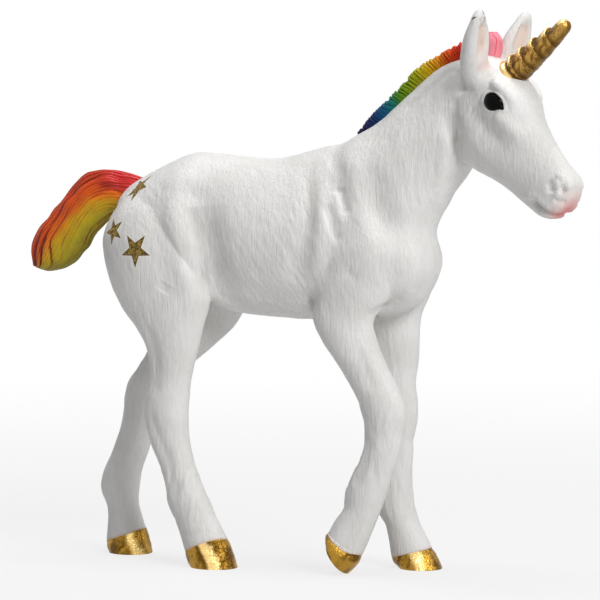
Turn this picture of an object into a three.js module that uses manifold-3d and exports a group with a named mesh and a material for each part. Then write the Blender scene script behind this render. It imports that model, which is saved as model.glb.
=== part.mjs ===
// A unicorn foal figurine, about 104 mm long and 97 mm tall, as moulded plastic pieces that plug together.
// Millimetres, +Z up, +X towards the nose, +Y to the animal's left. The finished part has Z = 0 at the soles.
import * as THREE from 'three';
import { mergeVertices } from 'three/addons/utils/BufferGeometryUtils.js';
import Module from 'manifold-3d';

const wasm = await Module();
wasm.setup();

// Driving dimensions
const fitGap = 0.3; // clearance all round every plug and socket
const legLength = 43; // from the ground to the trunk's lower edge
const bodyLength = 60; // from the rump to the chest
const barrelHalfWidth = 8.8;
const haunchHalfWidth = 9.9; // to the outside of the thigh
const shoulderHalfWidth = 9.0; // to the outside of the upper foreleg
const hindStance = 6.2; // from the middle plane to a hind hoof's centre
const foreStance = 6.0;
const neckHalfWidth = 7.2; // at its base
const headHalfWidth = 5.4; // across one cheek
const headYaw = -18; // degrees, turned to the animal's right
const headPivot = [31, -1]; // x and y of the upright axis the head turns about
const eyeRadius = 1.75;
const rightEarLength = 10.9;
const leftEarLength = 10.1;
const rightEarWidth = 5.9;
const leftEarWidth = 5.3;
const earDepthShare = 0.68; // front to back, as a share of the width
const earFacing = -8; // degrees outwards from straight ahead, so this is inwards
const earWall = 0.7;
const earStub = 1.2; // length inside the head
const hornLength = 14.6; // that shows above the forehead
const hornBaseRadius = 2.55;
const hornTipRadius = 1.05;
const hornFullness = 1.35; // 1 for a straight cone, more for one that stays thick
const hornTurns = 5;
const hornGroove = 0.32;
const hornRoot = 2.2; // length inside the forehead
const hornRootShare = 0.7; // of the base radius, at the root's end
const maneThickness = 2.6;
const maneStrands = 14;
const maneStrandDepth = 0.16;
const forelockHalfWidth = 1.5;
const tailHalfWidth = 3.4;
const tailStrands = 9;
const tailStrandDepth = 0.2;
const plugShare = 0.55; // a leg's plug into its hoof, as a share of the leg's section
const plugDepth = 1.4;
const soleBevel = 0.25;
const groundLevel = -0.3; // where the soles stand in the sculpt's own frame

// The animal as it was drawn. Longer legs raise all that is above them. A longer body is longer between
// the hind legs and the forelegs, which moves all that is ahead of them.
const drawn = { legs: 43, body: 60, hindLegs: -10, forelegs: 4 };

function onBody([x, y, z]) {
  const share = Math.min(1, Math.max(0, (x - drawn.hindLegs) / (drawn.forelegs - drawn.hindLegs)));
  const raised = z < drawn.legs ? z * (legLength / drawn.legs) : z + legLength - drawn.legs;
  return [x + (bodyLength - drawn.body) * share, y, raised];
}

// One cross-section of a piece: its front (or top) and back (or bottom) points in the animal's side view,
// its half width, its place across the body, where it is widest from back to front, and how square it is.
function rib(front, back, half, y = 0, { wide = 0.5, square = [2, 2] } = {}) {
  return { front, back, half, y, wide, square };
}

const ribNumbers = (r) => [...r.front, ...r.back, r.half, r.y, r.wide, ...r.square];

// The same rib's numbers at a share between two ribs, on one smooth curve through all of them.
function ribBetween(rows, place) {
  const i = Math.min(Math.floor(place), rows.length - 2);
  const t = place - i;
  const before = rows[Math.max(i - 1, 0)];
  const after = rows[Math.min(i + 2, rows.length - 1)];
  return rows[i].map((p1, k) => {
    const p0 = before[k];
    const p2 = rows[i + 1][k];
    const p3 = after[k];
    return 0.5 * (2 * p1 + (p2 - p0) * t + (2 * p0 - 5 * p1 + 4 * p2 - p3) * t * t
      + (3 * p1 - p0 - 3 * p2 + p3) * t * t * t);
  });
}

// The ring of points on one rib. Gap grows it on every side; ripple(angle) adds to its radius.
function ribRing(numbers, sides, gap, ripple) {
  const [fx, fz, bx, bz, half, y, wide, squareFront, squareBack] = numbers;
  const depth = Math.hypot(fx - bx, fz - bz);
  const along = [(fx - bx) / depth, (fz - bz) / depth];
  const centre = [bx + (fx - bx) * wide, bz + (fz - bz) * wide];
  return Array.from({ length: sides }, (_, k) => {
    const angle = (k / sides) * 2 * Math.PI;
    const [u, v] = [Math.cos(angle), Math.sin(angle)];
    const power = 2 / (u >= 0 ? squareFront : squareBack);
    const more = ripple ? ripple(angle) : 0;
    const reach = (u >= 0 ? 1 - wide : wide) * depth + gap + more;
    const out = Math.sign(u) * Math.abs(u) ** power * reach;
    const across = Math.sign(v) * Math.abs(v) ** power * (half + gap + more);
    return [centre[0] + along[0] * out, y + across, centre[1] + along[1] * out];
  });
}

// A closed solid through the ribs. place() turns a point of the piece's own frame into the animal's.
function ribLoft(ribs, { sides = 12, steps = 2, gap = 0, place = onBody, ripple } = {}) {
  const rows = ribs.map(ribNumbers);
  const count = (rows.length - 1) * steps + 1;
  const rings = Array.from({ length: count }, (_, i) => {
    const share = i / (count - 1);
    const numbers = ribBetween(rows, share * (rows.length - 1));
    return ribRing(numbers, sides, gap, ripple && ((angle) => ripple(angle, share)));
  });
  const middle = (ring) => [0, 1, 2].map((k) => ring.reduce((s, p) => s + p[k], 0) / ring.length);
  const pushEnd = (ring, next) => {
    const away = new THREE.Vector3(...middle(ring)).sub(new THREE.Vector3(...middle(next)));
    away.normalize().multiplyScalar(gap);
    return ring.map((p) => [p[0] + away.x, p[1] + away.y, p[2] + away.z]);
  };
  const last = count - 1;
  const [firstRing, lastRing] = [pushEnd(rings[0], rings[1]), pushEnd(rings[last], rings[last - 1])];
  rings[0] = firstRing;
  rings[last] = lastRing;
  return shellSolid(rings, place);
}

// Joins rings of equal count into one closed solid with a fan at each end.
function shellSolid(rings, place = (p) => p) {
  const sides = rings[0].length;
  const last = rings.length - 1;
  const mean = (ring) => [0, 1, 2].map((k) => ring.reduce((s, p) => s + p[k], 0) / sides);
  const points = [...rings.flat(), mean(rings[0]), mean(rings[last])].map(place);
  const index = [];
  for (let i = 0; i < last; i++) {
    for (let k = 0; k < sides; k++) {
      const [a, b] = [i * sides + k, i * sides + ((k + 1) % sides)];
      index.push(a, b, b + sides, a, b + sides, a + sides);
    }
  }
  const [startPole, endPole] = [rings.length * sides, rings.length * sides + 1];
  for (let k = 0; k < sides; k++) {
    const next = (k + 1) % sides;
    index.push(startPole, next, k, endPole, last * sides + k, last * sides + next);
  }
  return solidFrom(points.flat(), index);
}

// A manifold-3d solid with its faces pointing out.
function solidFrom(positions, index) {
  const make = (triVerts) => new wasm.Manifold(new wasm.Mesh({
    numProp: 3,
    vertProperties: new Float32Array(positions),
    triVerts: new Uint32Array(triVerts),
  }));
  const solid = make(index);
  return solid.volume() > 0 ? solid : make([...index].reverse());
}

function solidFromGeometry(geometry) {
  geometry.deleteAttribute('normal');
  geometry.deleteAttribute('uv');
  const merged = mergeVertices(geometry, 1e-4);
  return solidFrom(merged.attributes.position.array, [...merged.index.array]);
}

function ellipsoid(centre, radii, turn = [0, 0, 0], segments = 16) {
  const geometry = new THREE.SphereGeometry(1, segments, segments / 2);
  geometry.scale(...radii);
  geometry.applyMatrix4(new THREE.Matrix4().makeRotationFromEuler(new THREE.Euler(...turn, 'ZYX')));
  geometry.translate(...centre);
  return solidFromGeometry(geometry);
}

const subtractAll = (solid, ...tools) => tools.reduce((s, t) => s.subtract(t), solid);

// Trunk: front is the top line and back the under line
const trunkRibs = [
  rib([-33.4, 60.5], [-33.4, 55.5], 2.6),
  rib([-32.4, 64.4], [-32.0, 52.5], 6.0),
  rib([-29.0, 67.0], [-28.4, 50.0], 7.6, 0, { square: [2, 2.2] }),
  rib([-24.5, 69.3], [-23.4, 47.6], haunchHalfWidth - 1.2, 0, { square: [2, 2.2] }),
  rib([-19.6, 71.1], [-18.2, 45.6], haunchHalfWidth - 1.0, 0, { square: [2, 2.2] }),
  rib([-14.4, 71.0], [-13.0, 43.9], barrelHalfWidth - 0.4, 0, { wide: 0.48, square: [2, 2.1] }),
  rib([-8.6, 70.5], [-7.4, 43.2], barrelHalfWidth - 0.1, 0, { wide: 0.46, square: [2, 2.1] }),
  rib([-3.0, 70.5], [-2.0, 42.9], barrelHalfWidth, 0, { wide: 0.46, square: [1.95, 2.1] }),
  rib([2.4, 71.9], [3.0, 42.8], barrelHalfWidth - 0.1, 0, { wide: 0.45, square: [1.85, 2.1] }),
  rib([7.4, 73.2], [7.6, 43.2], barrelHalfWidth - 0.4, 0, { wide: 0.44, square: [1.75, 2.1] }),
  rib([11.4, 73.8], [12.2, 43.6], shoulderHalfWidth - 0.7, 0, { wide: 0.42, square: [1.75, 2.1] }),
  rib([15.6, 70.5], [16.4, 43.9], shoulderHalfWidth - 0.9, 0, { wide: 0.42, square: [1.85, 2.1] }),
  rib([19.6, 65.0], [19.8, 44.6], shoulderHalfWidth - 1.4, 0, { wide: 0.44 }),
  rib([23.0, 59.6], [22.6, 46.6], shoulderHalfWidth - 2.4, 0, { wide: 0.48, square: [2.1, 2.2] }),
  rib([24.6, 57.0], [24.1, 48.8], 5.0),
  rib([25.5, 54.9], [25.3, 51.3], 2.4),
];

// Neck: front is the crest and back the throat line
const neckRibs = [
  rib([4.0, 70.0], [18.6, 49.0], neckHalfWidth - 1.0),
  rib([7.8, 73.0], [22.0, 53.4], neckHalfWidth - 0.1),
  rib([11.4, 75.2], [24.3, 57.6], neckHalfWidth, 0, { square: [1.9, 2] }),
  rib([15.2, 77.4], [26.0, 61.4], neckHalfWidth - 0.5, 0, { square: [1.8, 2] }),
  rib([18.8, 80.5], [28.2, 65.0], neckHalfWidth - 1.1, -0.1, { square: [1.8, 2] }),
  rib([22.4, 83.6], [30.6, 68.0], neckHalfWidth - 1.7, -0.4, { square: [1.8, 2] }),
  rib([26.0, 86.3], [33.4, 71.8], neckHalfWidth - 2.3, -0.9, { square: [1.8, 2] }),
  rib([29.4, 87.8], [36.0, 76.2], neckHalfWidth - 3.0, -1.6),
  rib([32.4, 87.4], [37.2, 80.2], neckHalfWidth - 4.2, -2.2),
];

// Head, in its own side view before it is turned: front is the nose line and back the jaw line
const headRibs = [
  rib([-1.8, 86.6], [-2.8, 83.2], headHalfWidth - 3.4),
  rib([1.4, 88.6], [-2.9, 79.4], headHalfWidth - 1.5),
  rib([5.0, 88.6], [-2.4, 75.8], headHalfWidth - 0.6, 0, { wide: 0.52 }),
  rib([8.9, 86.4], [-1.1, 72.6], headHalfWidth - 0.1, 0, { wide: 0.55, square: [2.2, 2] }),
  rib([12.0, 83.9], [1.0, 69.6], headHalfWidth, 0, { wide: 0.55, square: [2.3, 2] }),
  rib([14.1, 81.3], [4.2, 68.1], headHalfWidth - 0.3, 0, { wide: 0.52, square: [2.2, 2] }),
  rib([15.1, 78.5], [7.2, 66.8], headHalfWidth - 1.0, 0, { square: [2.1, 2] }),
  rib([16.7, 75.8], [9.8, 65.3], headHalfWidth - 1.7),
  rib([18.5, 73.3], [12.0, 63.8], headHalfWidth - 2.2),
  rib([20.4, 70.9], [13.9, 62.5], headHalfWidth - 2.4),
  rib([22.0, 69.0], [15.6, 61.6], headHalfWidth - 2.2, 0, { square: [2.2, 2.2] }),
  rib([22.9, 67.1], [17.4, 61.2], headHalfWidth - 2.3, 0, { square: [2.2, 2.2] }),
  rib([22.7, 65.1], [19.2, 61.4], headHalfWidth - 2.9),
  rib([21.6, 63.4], [20.2, 62.0], headHalfWidth - 4.0),
];

// A leg's ribs run from the plug inside the trunk down to the coronet; front is the leg's front edge
const thighY = haunchHalfWidth - 4.7;
const upperArmY = shoulderHalfWidth - 4.1;
const rightHindRibs = [
  rib([-22.0, 65.2], [-29.0, 65.0], 2.0, thighY - 1.6),
  rib([-19.2, 61.2], [-32.6, 61.2], 3.8, thighY - 0.4),
  rib([-17.0, 55.6], [-34.7, 56.0], 4.7, thighY),
  rib([-15.2, 50.0], [-33.8, 49.8], 4.6, thighY + 0.1),
  rib([-14.8, 45.4], [-31.1, 44.4], 4.3, thighY + 0.2),
  rib([-15.9, 41.0], [-27.9, 40.6], 3.7, thighY + 0.5),
  rib([-17.0, 36.6], [-25.9, 36.6], 3.1, thighY + 0.7),
  rib([-18.0, 32.2], [-25.6, 32.4], 2.8, hindStance - 0.2),
  rib([-18.4, 28.6], [-26.3, 28.8], 2.9, hindStance - 0.1),
  rib([-18.5, 25.0], [-26.3, 25.2], 2.7, hindStance),
  rib([-18.2, 21.4], [-25.3, 20.8], 2.5, hindStance),
  rib([-17.4, 18.0], [-23.7, 17.4], 2.4, hindStance),
  rib([-16.3, 14.9], [-22.5, 13.8], 2.6, hindStance),
  rib([-14.9, 12.0], [-21.8, 10.4], 2.8, hindStance),
  rib([-13.4, 8.8], [-20.5, 7.6], 2.7, hindStance),
  rib([-11.2, 4.7], [-18.7, 2.0], 3.0, hindStance),
];
const leftHindRibs = [
  rib([-22.0, 65.2], [-29.0, 65.0], 2.0, thighY - 1.6),
  rib([-18.6, 61.2], [-32.6, 61.2], 3.8, thighY - 0.4),
  rib([-15.0, 55.8], [-34.6, 56.0], 4.7, thighY),
  rib([-12.8, 50.4], [-34.6, 49.8], 4.6, thighY + 0.1),
  rib([-12.2, 45.8], [-33.4, 44.6], 4.3, thighY + 0.2),
  rib([-14.2, 41.4], [-31.8, 40.4], 3.7, thighY + 0.5),
  rib([-19.0, 37.0], [-31.2, 36.6], 3.1, thighY + 0.7),
  rib([-23.8, 33.0], [-33.0, 33.2], 2.8, hindStance - 0.2),
  rib([-27.6, 29.4], [-35.1, 30.0], 2.9, hindStance - 0.1),
  rib([-29.2, 25.6], [-35.8, 26.0], 2.7, hindStance),
  rib([-30.4, 21.8], [-36.7, 22.2], 2.5, hindStance),
  rib([-31.6, 18.0], [-38.3, 18.0], 2.4, hindStance),
  rib([-32.8, 14.6], [-40.0, 14.0], 2.6, hindStance),
  rib([-33.4, 11.4], [-40.2, 11.0], 2.8, hindStance),
  rib([-33.5, 8.2], [-39.1, 7.6], 2.7, hindStance),
  rib([-32.2, 4.2], [-39.4, 1.6], 3.0, hindStance),
];
const rightForeRibs = [
  rib([16.0, 62.0], [9.0, 62.0], 2.2, upperArmY),
  rib([20.4, 56.4], [7.4, 57.4], 3.6, upperArmY + 0.2),
  rib([20.8, 51.4], [5.6, 51.6], 4.0, upperArmY + 0.1),
  rib([18.6, 47.0], [4.4, 46.4], 3.9, upperArmY + 0.2),
  rib([15.6, 43.4], [4.7, 42.8], 3.5, upperArmY + 0.5),
  rib([16.4, 39.8], [6.5, 39.6], 3.2, foreStance - 0.3),
  rib([18.0, 36.3], [9.1, 36.3], 2.9, foreStance),
  rib([19.7, 33.0], [11.4, 32.8], 2.8, foreStance),
  rib([21.1, 29.8], [13.2, 29.8], 2.9, foreStance),
  rib([21.7, 26.8], [14.3, 26.5], 2.9, foreStance),
  rib([21.2, 23.4], [14.4, 23.0], 2.6, foreStance),
  rib([20.3, 19.8], [13.5, 19.6], 2.4, foreStance),
  rib([19.2, 16.6], [12.1, 16.8], 2.5, foreStance),
  rib([18.3, 14.0], [11.2, 14.0], 2.7, foreStance),
  rib([17.0, 10.4], [10.7, 11.2], 2.6, foreStance),
  rib([15.6, 7.2], [9.1, 9.0], 2.7, foreStance),
  rib([13.7, 3.2], [7.9, 6.9], 2.9, foreStance),
];
const leftForeRibs = [
  rib([16.0, 62.0], [9.0, 62.0], 2.2, upperArmY),
  rib([23.0, 56.4], [7.4, 57.4], 3.6, upperArmY + 0.2),
  rib([23.7, 51.8], [6.4, 51.6], 4.0, upperArmY + 0.1),
  rib([21.9, 47.2], [6.8, 46.2], 3.9, upperArmY + 0.2),
  rib([20.2, 43.4], [8.4, 42.8], 3.5, upperArmY + 0.5),
  rib([19.8, 39.6], [10.2, 39.4], 3.2, foreStance - 0.3),
  rib([19.5, 36.0], [11.2, 35.8], 2.9, foreStance),
  rib([19.0, 32.4], [11.6, 32.2], 2.8, foreStance),
  rib([19.0, 28.8], [11.7, 28.6], 2.9, foreStance),
  rib([19.1, 25.3], [12.0, 25.0], 2.8, foreStance),
  rib([18.7, 21.0], [12.3, 21.0], 2.5, foreStance),
  rib([18.4, 17.0], [12.4, 17.0], 2.4, foreStance),
  rib([18.4, 13.8], [12.1, 13.4], 2.7, foreStance),
  rib([18.8, 10.4], [12.5, 9.8], 2.7, foreStance),
  rib([19.9, 7.2], [13.9, 6.8], 2.7, foreStance),
  rib([21.9, 3.4], [14.9, 1.6], 3.0, foreStance),
];

// Hoof soles: the toe and heel points in the side view, the half width of the ground edge, and how far
// the wall above it swells. The right forefoot is lifted, with its toe just clear of the ground.
const soles = {
  rightHind: { toe: [-9.3, groundLevel], heel: [-17.7, groundLevel], half: 3.7, bulge: 0.15 },
  leftHind: { toe: [-31.0, groundLevel], heel: [-38.8, groundLevel], half: 3.7, bulge: 0.15 },
  rightFore: { toe: [11.2, groundLevel + 0.1], heel: [7.6, 4.8], half: 3.4, bulge: 0.35 },
  leftFore: { toe: [23.9, groundLevel], heel: [16.4, groundLevel], half: 3.7, bulge: 0.2 },
};

const tailRibs = [
  rib([-27.0, 66.0], [-27.4, 61.0], tailHalfWidth - 1.2),
  rib([-30.8, 67.2], [-31.6, 60.0], tailHalfWidth - 0.8),
  rib([-35.4, 68.2], [-34.8, 59.6], tailHalfWidth - 0.3),
  rib([-39.8, 67.6], [-37.0, 58.3], tailHalfWidth),
  rib([-43.6, 64.4], [-38.9, 56.4], tailHalfWidth),
  rib([-47.1, 60.7], [-40.5, 53.9], tailHalfWidth - 0.1),
  rib([-49.9, 57.1], [-42.2, 51.7], tailHalfWidth - 0.4),
  rib([-51.3, 53.4], [-44.8, 50.3], tailHalfWidth - 1.0),
  rib([-50.9, 50.9], [-47.8, 49.9], tailHalfWidth - 2.2),
];

const maneHalf = maneThickness / 2;
const maneRibs = [
  rib([10.6, 75.0], [11.6, 73.4], maneHalf - 0.8),
  rib([13.1, 78.0], [14.9, 75.2], maneHalf - 0.3),
  rib([15.9, 80.6], [18.0, 77.8], maneHalf - 0.1),
  rib([18.7, 83.3], [20.8, 80.2], maneHalf, -0.1),
  rib([21.5, 86.1], [23.5, 82.6], maneHalf, -0.3),
  rib([24.6, 87.9], [26.1, 84.6], maneHalf, -0.6),
  rib([27.4, 89.3], [28.6, 86.0], maneHalf, -1.0),
  rib([29.8, 90.5], [30.8, 86.9], maneHalf - 0.2, -1.5),
];

// Places on the head, in its own frame before it is turned: forward, to the left, up.
// Each is measured from a rib of the head, so that it follows the head's outline.
const crown = headRibs[2].front;
const forehead = headRibs[3].front;
const jowl = headRibs[3].back;
const noseTip = headRibs[10].front;
const from = (point, forward, side, up) => [point[0] + forward, side, point[1] + up];
const eyePlace = from(forehead, 0.3, headHalfWidth - 0.95, -5.6);
const earRoot = from(crown, -0.4, headHalfWidth - 0.7, -2.6);
const rightEarLean = [3.8, 3.1, 10.4]; // an ear's direction, from its root to its tip
const leftEarLean = [2.6, 2.9, 10.4];
const hornRootPlace = from(forehead, 0.3, 0, -1.2);
const hornLean = 36.5; // degrees above level
const browPlace = from(forehead, 1.5, headHalfWidth - 1.6, -4.0);
const cheekPlace = from(jowl, 4.5, headHalfWidth - 3.4, 2.0);
const nostrilPlace = from(noseTip, -1.5, headHalfWidth - 3.35, -2.6);

const onCrown = (forward, up) => [crown[0] + forward, crown[1] + up];
const forelockRibs = [
  rib(onCrown(1.4, -1.4), onCrown(-1.6, -1.0), forelockHalfWidth - 0.3),
  rib(onCrown(2.0, 0.6), onCrown(-2.0, 0.6), forelockHalfWidth),
  rib(onCrown(1.9, 2.4), onCrown(-1.7, 2.4), forelockHalfWidth - 0.1),
  rib(onCrown(1.0, 3.6), onCrown(-0.9, 3.6), forelockHalfWidth - 0.8),
];

// Seams between the white pieces, as two points of the seam's line in the side view
const headSeam = { from: [29.2, 68.0], to: [28.6, 90.5], turned: -12 };
const neckSeam = { from: [24.6, 58.0], to: [10.2, 74.5] };
const headPegRadius = 2.2;
const headPegLine = [[27.0, -0.6, 77.6], [33.0, -1.6, 78.6]];
const neckPegRadius = 3.2;
const neckPegLine = [[13.2, 0, 61.0], [21.2, 0, 67.4]];
const legPegRadius = 1.9;
const legPegLength = 3.2;
const legSeams = {
  right_hind: { x: [-60, -9], z: 43.0, peg: [-22.4, thighY + 0.3] },
  left_hind: { x: [-60, -9], z: 43.0, peg: [-24.0, thighY + 0.3] },
  right_fore: { x: [4.4, 40], z: 42.4, peg: [10.4, upperArmY + 0.6] },
  left_fore: { x: [4.4, 40], z: 42.4, peg: [14.2, upperArmY + 0.6] },
};

const yaw = THREE.MathUtils.degToRad(headYaw);
const onHead = ([h, side, z]) => onBody([
  headPivot[0] + h * Math.cos(yaw) - side * Math.sin(yaw),
  headPivot[1] + h * Math.sin(yaw) + side * Math.cos(yaw),
  z,
]);
const mirrored = (ribs) => ribs.map((r) => ({ ...r, y: -r.y }));

// A leg ends in a flat coronet with a plug that goes into the hoof.
function legPieces(ribs, sole) {
  const coronet = ribs[ribs.length - 1];
  const above = ribs[ribs.length - 2];
  const middleOf = (r) => [(r.front[0] + r.back[0]) / 2, (r.front[1] + r.back[1]) / 2];
  const [start, end] = [middleOf(above), middleOf(coronet)];
  const length = Math.hypot(end[0] - start[0], end[1] - start[1]);
  const down = [(end[0] - start[0]) / length, (end[1] - start[1]) / length];
  const moved = (r, by, share) => {
    const [cx, cz] = middleOf(r);
    const point = ([x, z]) => [cx + (x - cx) * share + down[0] * by, cz + (z - cz) * share + down[1] * by];
    return { ...r, front: point(r.front), back: point(r.back), half: r.half * share };
  };
  const plug = (gap) => ribLoft([moved(coronet, -1, plugShare), moved(coronet, plugDepth, plugShare)],
    { sides: 12, steps: 1, gap });
  const top = moved(coronet, fitGap, 1.02);
  const bottom = { ...top, front: sole.toe, back: sole.heel, half: sole.half };
  const share = (t, a, b) => a.map((v, k) => v + (b[k] - v) * t);
  const wall = (t, bulge) => {
    const [front, back] = [share(t, top.front, bottom.front), share(t, top.back, bottom.back)];
    const grow = bulge / Math.hypot(front[0] - back[0], front[1] - back[1]);
    return {
      ...top,
      front: share(-grow, front, back),
      back: share(-grow, back, front),
      half: top.half + (bottom.half - top.half) * t + bulge,
    };
  };
  const bevelled = {
    ...bottom,
    front: share(soleBevel / 8, bottom.front, bottom.back),
    back: share(soleBevel / 8, bottom.back, bottom.front),
    half: bottom.half - soleBevel,
  };
  const swelling = [wall(0.35, sole.bulge), wall(0.7, 0.8 * sole.bulge)];
  const walls = [top, ...swelling, wall(1 - soleBevel / 4, 0), bevelled];
  return {
    loft: ribLoft(ribs, { sides: 14, steps: 2 }),
    plug: plug(0),
    hoof: ribLoft(walls, { sides: 18, steps: 1 }).subtract(plug(fitGap)),
  };
}

const legs = {
  right_hind: legPieces(mirrored(rightHindRibs), soles.rightHind),
  left_hind: legPieces(leftHindRibs, soles.leftHind),
  right_fore: legPieces(mirrored(rightForeRibs), soles.rightFore),
  left_fore: legPieces(leftForeRibs, soles.leftFore),
};

const tail = (gap) => ribLoft(tailRibs, {
  sides: 27,
  steps: 2,
  gap,
  ripple: (angle, share) => tailStrandDepth * Math.sin(Math.PI * Math.min(1, share * 1.6)) ** 2
    * Math.cos(tailStrands * (angle + 1.1 * share)),
});

const mane = (gap) => ribLoft(maneRibs, {
  sides: 8,
  steps: 8,
  gap,
  ripple: (angle, share) => maneStrandDepth * Math.cos(2 * Math.PI * maneStrands * share)
    * Math.max(0, Math.cos(angle)) ** 0.5,
});

const forelock = (gap) => ribLoft(forelockRibs, {
  sides: 14,
  steps: 3,
  gap,
  place: onHead,
  ripple: (angle, share) => 0.14 * Math.cos(7 * angle) * Math.sin(Math.PI * share),
});

// A horn is a stack of rings whose radius follows a helix, so that one groove winds round it.
function horn(gap) {
  const rings = 32;
  const sides = 12;
  const lean = THREE.MathUtils.degToRad(hornLean);
  const out = [Math.cos(lean), 0, Math.sin(lean)];
  const up = [-Math.sin(lean), 0, Math.cos(lean)];
  const ringAt = (i) => {
    const along = i === 0 ? -hornRoot - gap : (i / rings) * (hornLength + gap);
    const share = Math.max(0, along / hornLength);
    const taper = hornBaseRadius + (hornTipRadius - hornBaseRadius) * share ** hornFullness;
    const nose = Math.max(0, (share - 0.9) / 0.105);
    const radius = along < 0 ? hornRootShare * taper : taper * Math.sqrt(Math.max(0.05, 1 - nose ** 2));
    return Array.from({ length: sides }, (_, k) => {
      const angle = (k / sides) * 2 * Math.PI;
      const wave = along > 0 ? Math.abs(Math.sin((hornTurns * share * 2 * Math.PI - angle) / 2)) : 1;
      const r = radius - hornGroove * Math.min(1, 1.6 - share) * (1 - wave) + gap;
      const [u, v] = [Math.cos(angle) * r, Math.sin(angle) * r];
      return hornRootPlace.map((c, n) => c + out[n] * along + up[n] * u + (n === 1 ? v : 0));
    });
  };
  return shellSolid(Array.from({ length: rings + 1 }, (_, i) => ringAt(i)), onHead);
}

// An ear is a pointed leaf, hollowed from the front.
function ear(side, gap) {
  const root = new THREE.Vector3(earRoot[0], side * earRoot[1], earRoot[2]);
  const left = side > 0;
  const earLength = left ? leftEarLength : rightEarLength;
  const earWidth = left ? leftEarWidth : rightEarWidth;
  const lean = left ? leftEarLean : rightEarLean;
  const axis = new THREE.Vector3(lean[0], side * lean[1], lean[2]).normalize();
  const facing = THREE.MathUtils.degToRad(earFacing);
  const open = new THREE.Vector3(Math.cos(facing), side * Math.sin(facing), 0);
  open.addScaledVector(axis, -open.dot(axis)).normalize();
  const across = axis.clone().cross(open);
  const half = (t) => (earWidth / 2) * (0.78 + 0.22 * Math.sin(Math.PI * Math.min(1, t * 1.1 + 0.16)))
    * Math.sqrt(Math.max(0.01, 1 - t ** 3.4));
  const rings = 9;
  const sides = 12;
  const leaf = (start, end, grow, forward) => shellSolid(Array.from({ length: rings + 1 }, (_, i) => {
    const share = 1 - (1 - i / rings) ** 1.4;
    const t = start + (end - start) * share;
    const centre = root.clone().addScaledVector(axis, t * earLength);
    const w = Math.max(0.1, half(Math.max(0, t)) + grow);
    return Array.from({ length: sides }, (_, k) => {
      const angle = (k / sides) * 2 * Math.PI;
      const point = centre.clone()
        .addScaledVector(across, Math.cos(angle) * w)
        .addScaledVector(open, Math.sin(angle) * w * earDepthShare + forward);
      return [point.x, point.y, point.z];
    });
  }), onHead);
  const outside = leaf(-(earStub + gap) / earLength, 1 + gap / earLength, gap, 0);
  return gap > 0 ? outside : outside.subtract(leaf(0.16, 0.9, -earWall, earWidth * 0.2));
}

const eye = (side, gap) => {
  const centre = onHead([eyePlace[0], side * eyePlace[1], eyePlace[2]]);
  const radii = [eyeRadius * 1.2 + gap, eyeRadius * 0.85 + gap, eyeRadius + gap];
  return ellipsoid(centre, radii, [0, 0.5, yaw - side * 0.12], 14);
};

// The head's skin with its brows, jowls and nostrils.
function headLoft() {
  let head = ribLoft(headRibs, { sides: 20, steps: 2, place: onHead });
  for (const side of [1, -1]) {
    const at = ([h, across, z]) => onHead([h, side * across, z]);
    head = head.add(ellipsoid(at(browPlace), [3.0, 1.3, 1.4], [0, 0.75, yaw], 12));
    head = head.add(ellipsoid(at(cheekPlace), [4.8, 3.0, 5.0], [0, 0, yaw], 16));
    head = head.add(ellipsoid(at(nostrilPlace), [1.7, 1.2, 1.9], [0, 0.6, yaw], 12));
    head = head.subtract(ellipsoid(
      at([nostrilPlace[0] + 0.5, nostrilPlace[1] + 1.15, nostrilPlace[2] - 0.1]),
      [0.8, 0.6, 0.45], [0, 0.5, yaw], 10,
    ));
  }
  return head;
}

// A block with one face on a seam, reaching a long way to the seam's far side. By moves that face along.
// A seam is two points of its line in the side view, and how far it is turned about the first.
function beyond({ from, to, turned = 0 }, by) {
  const reach = 80;
  const block = new THREE.BoxGeometry(reach, reach, reach);
  block.translate(reach / 2 + by, 0, 0);
  block.rotateY(-Math.atan2(from[0] - to[0], to[1] - from[1]) - (to[1] < from[1] ? Math.PI : 0));
  block.rotateZ(THREE.MathUtils.degToRad(turned));
  block.translate(...onBody([from[0], 0, from[1]]));
  return solidFromGeometry(block);
}

// A round peg across a seam, from its root at one point to its end at another.
function peg(root, end, radius, gap) {
  const start = onBody(root);
  const line = new THREE.Vector3(...onBody(end)).sub(new THREE.Vector3(...start));
  const geometry = new THREE.CylinderGeometry(radius + gap, radius + gap, line.length() + gap, 20);
  geometry.translate(0, (line.length() + gap) / 2, 0);
  const turn = new THREE.Quaternion().setFromUnitVectors(new THREE.Vector3(0, 1, 0), line.normalize());
  geometry.applyQuaternion(turn);
  geometry.translate(...start);
  return solidFromGeometry(geometry);
}

// The space below a leg's seam, on its own side of the body.
function belowSeam({ x, z }, side, by) {
  const [near, , top] = onBody([x[0], 0, z]);
  const [far] = onBody([x[1], 0, z]);
  const block = new THREE.BoxGeometry(far - near, 30, 80);
  block.translate((near + far) / 2, side * 15, top - by - 40);
  return solidFromGeometry(block);
}

// The skin is shaped in one piece and then parted at flat seams, each with a peg on the outer piece.
let skin = ribLoft(trunkRibs, { sides: 22, steps: 2 });
skin = skin.add(ribLoft(neckRibs, { sides: 18, steps: 2 })).add(headLoft());
for (const { loft } of Object.values(legs)) skin = skin.add(loft);
const halfGap = fitGap / 2;

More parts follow.
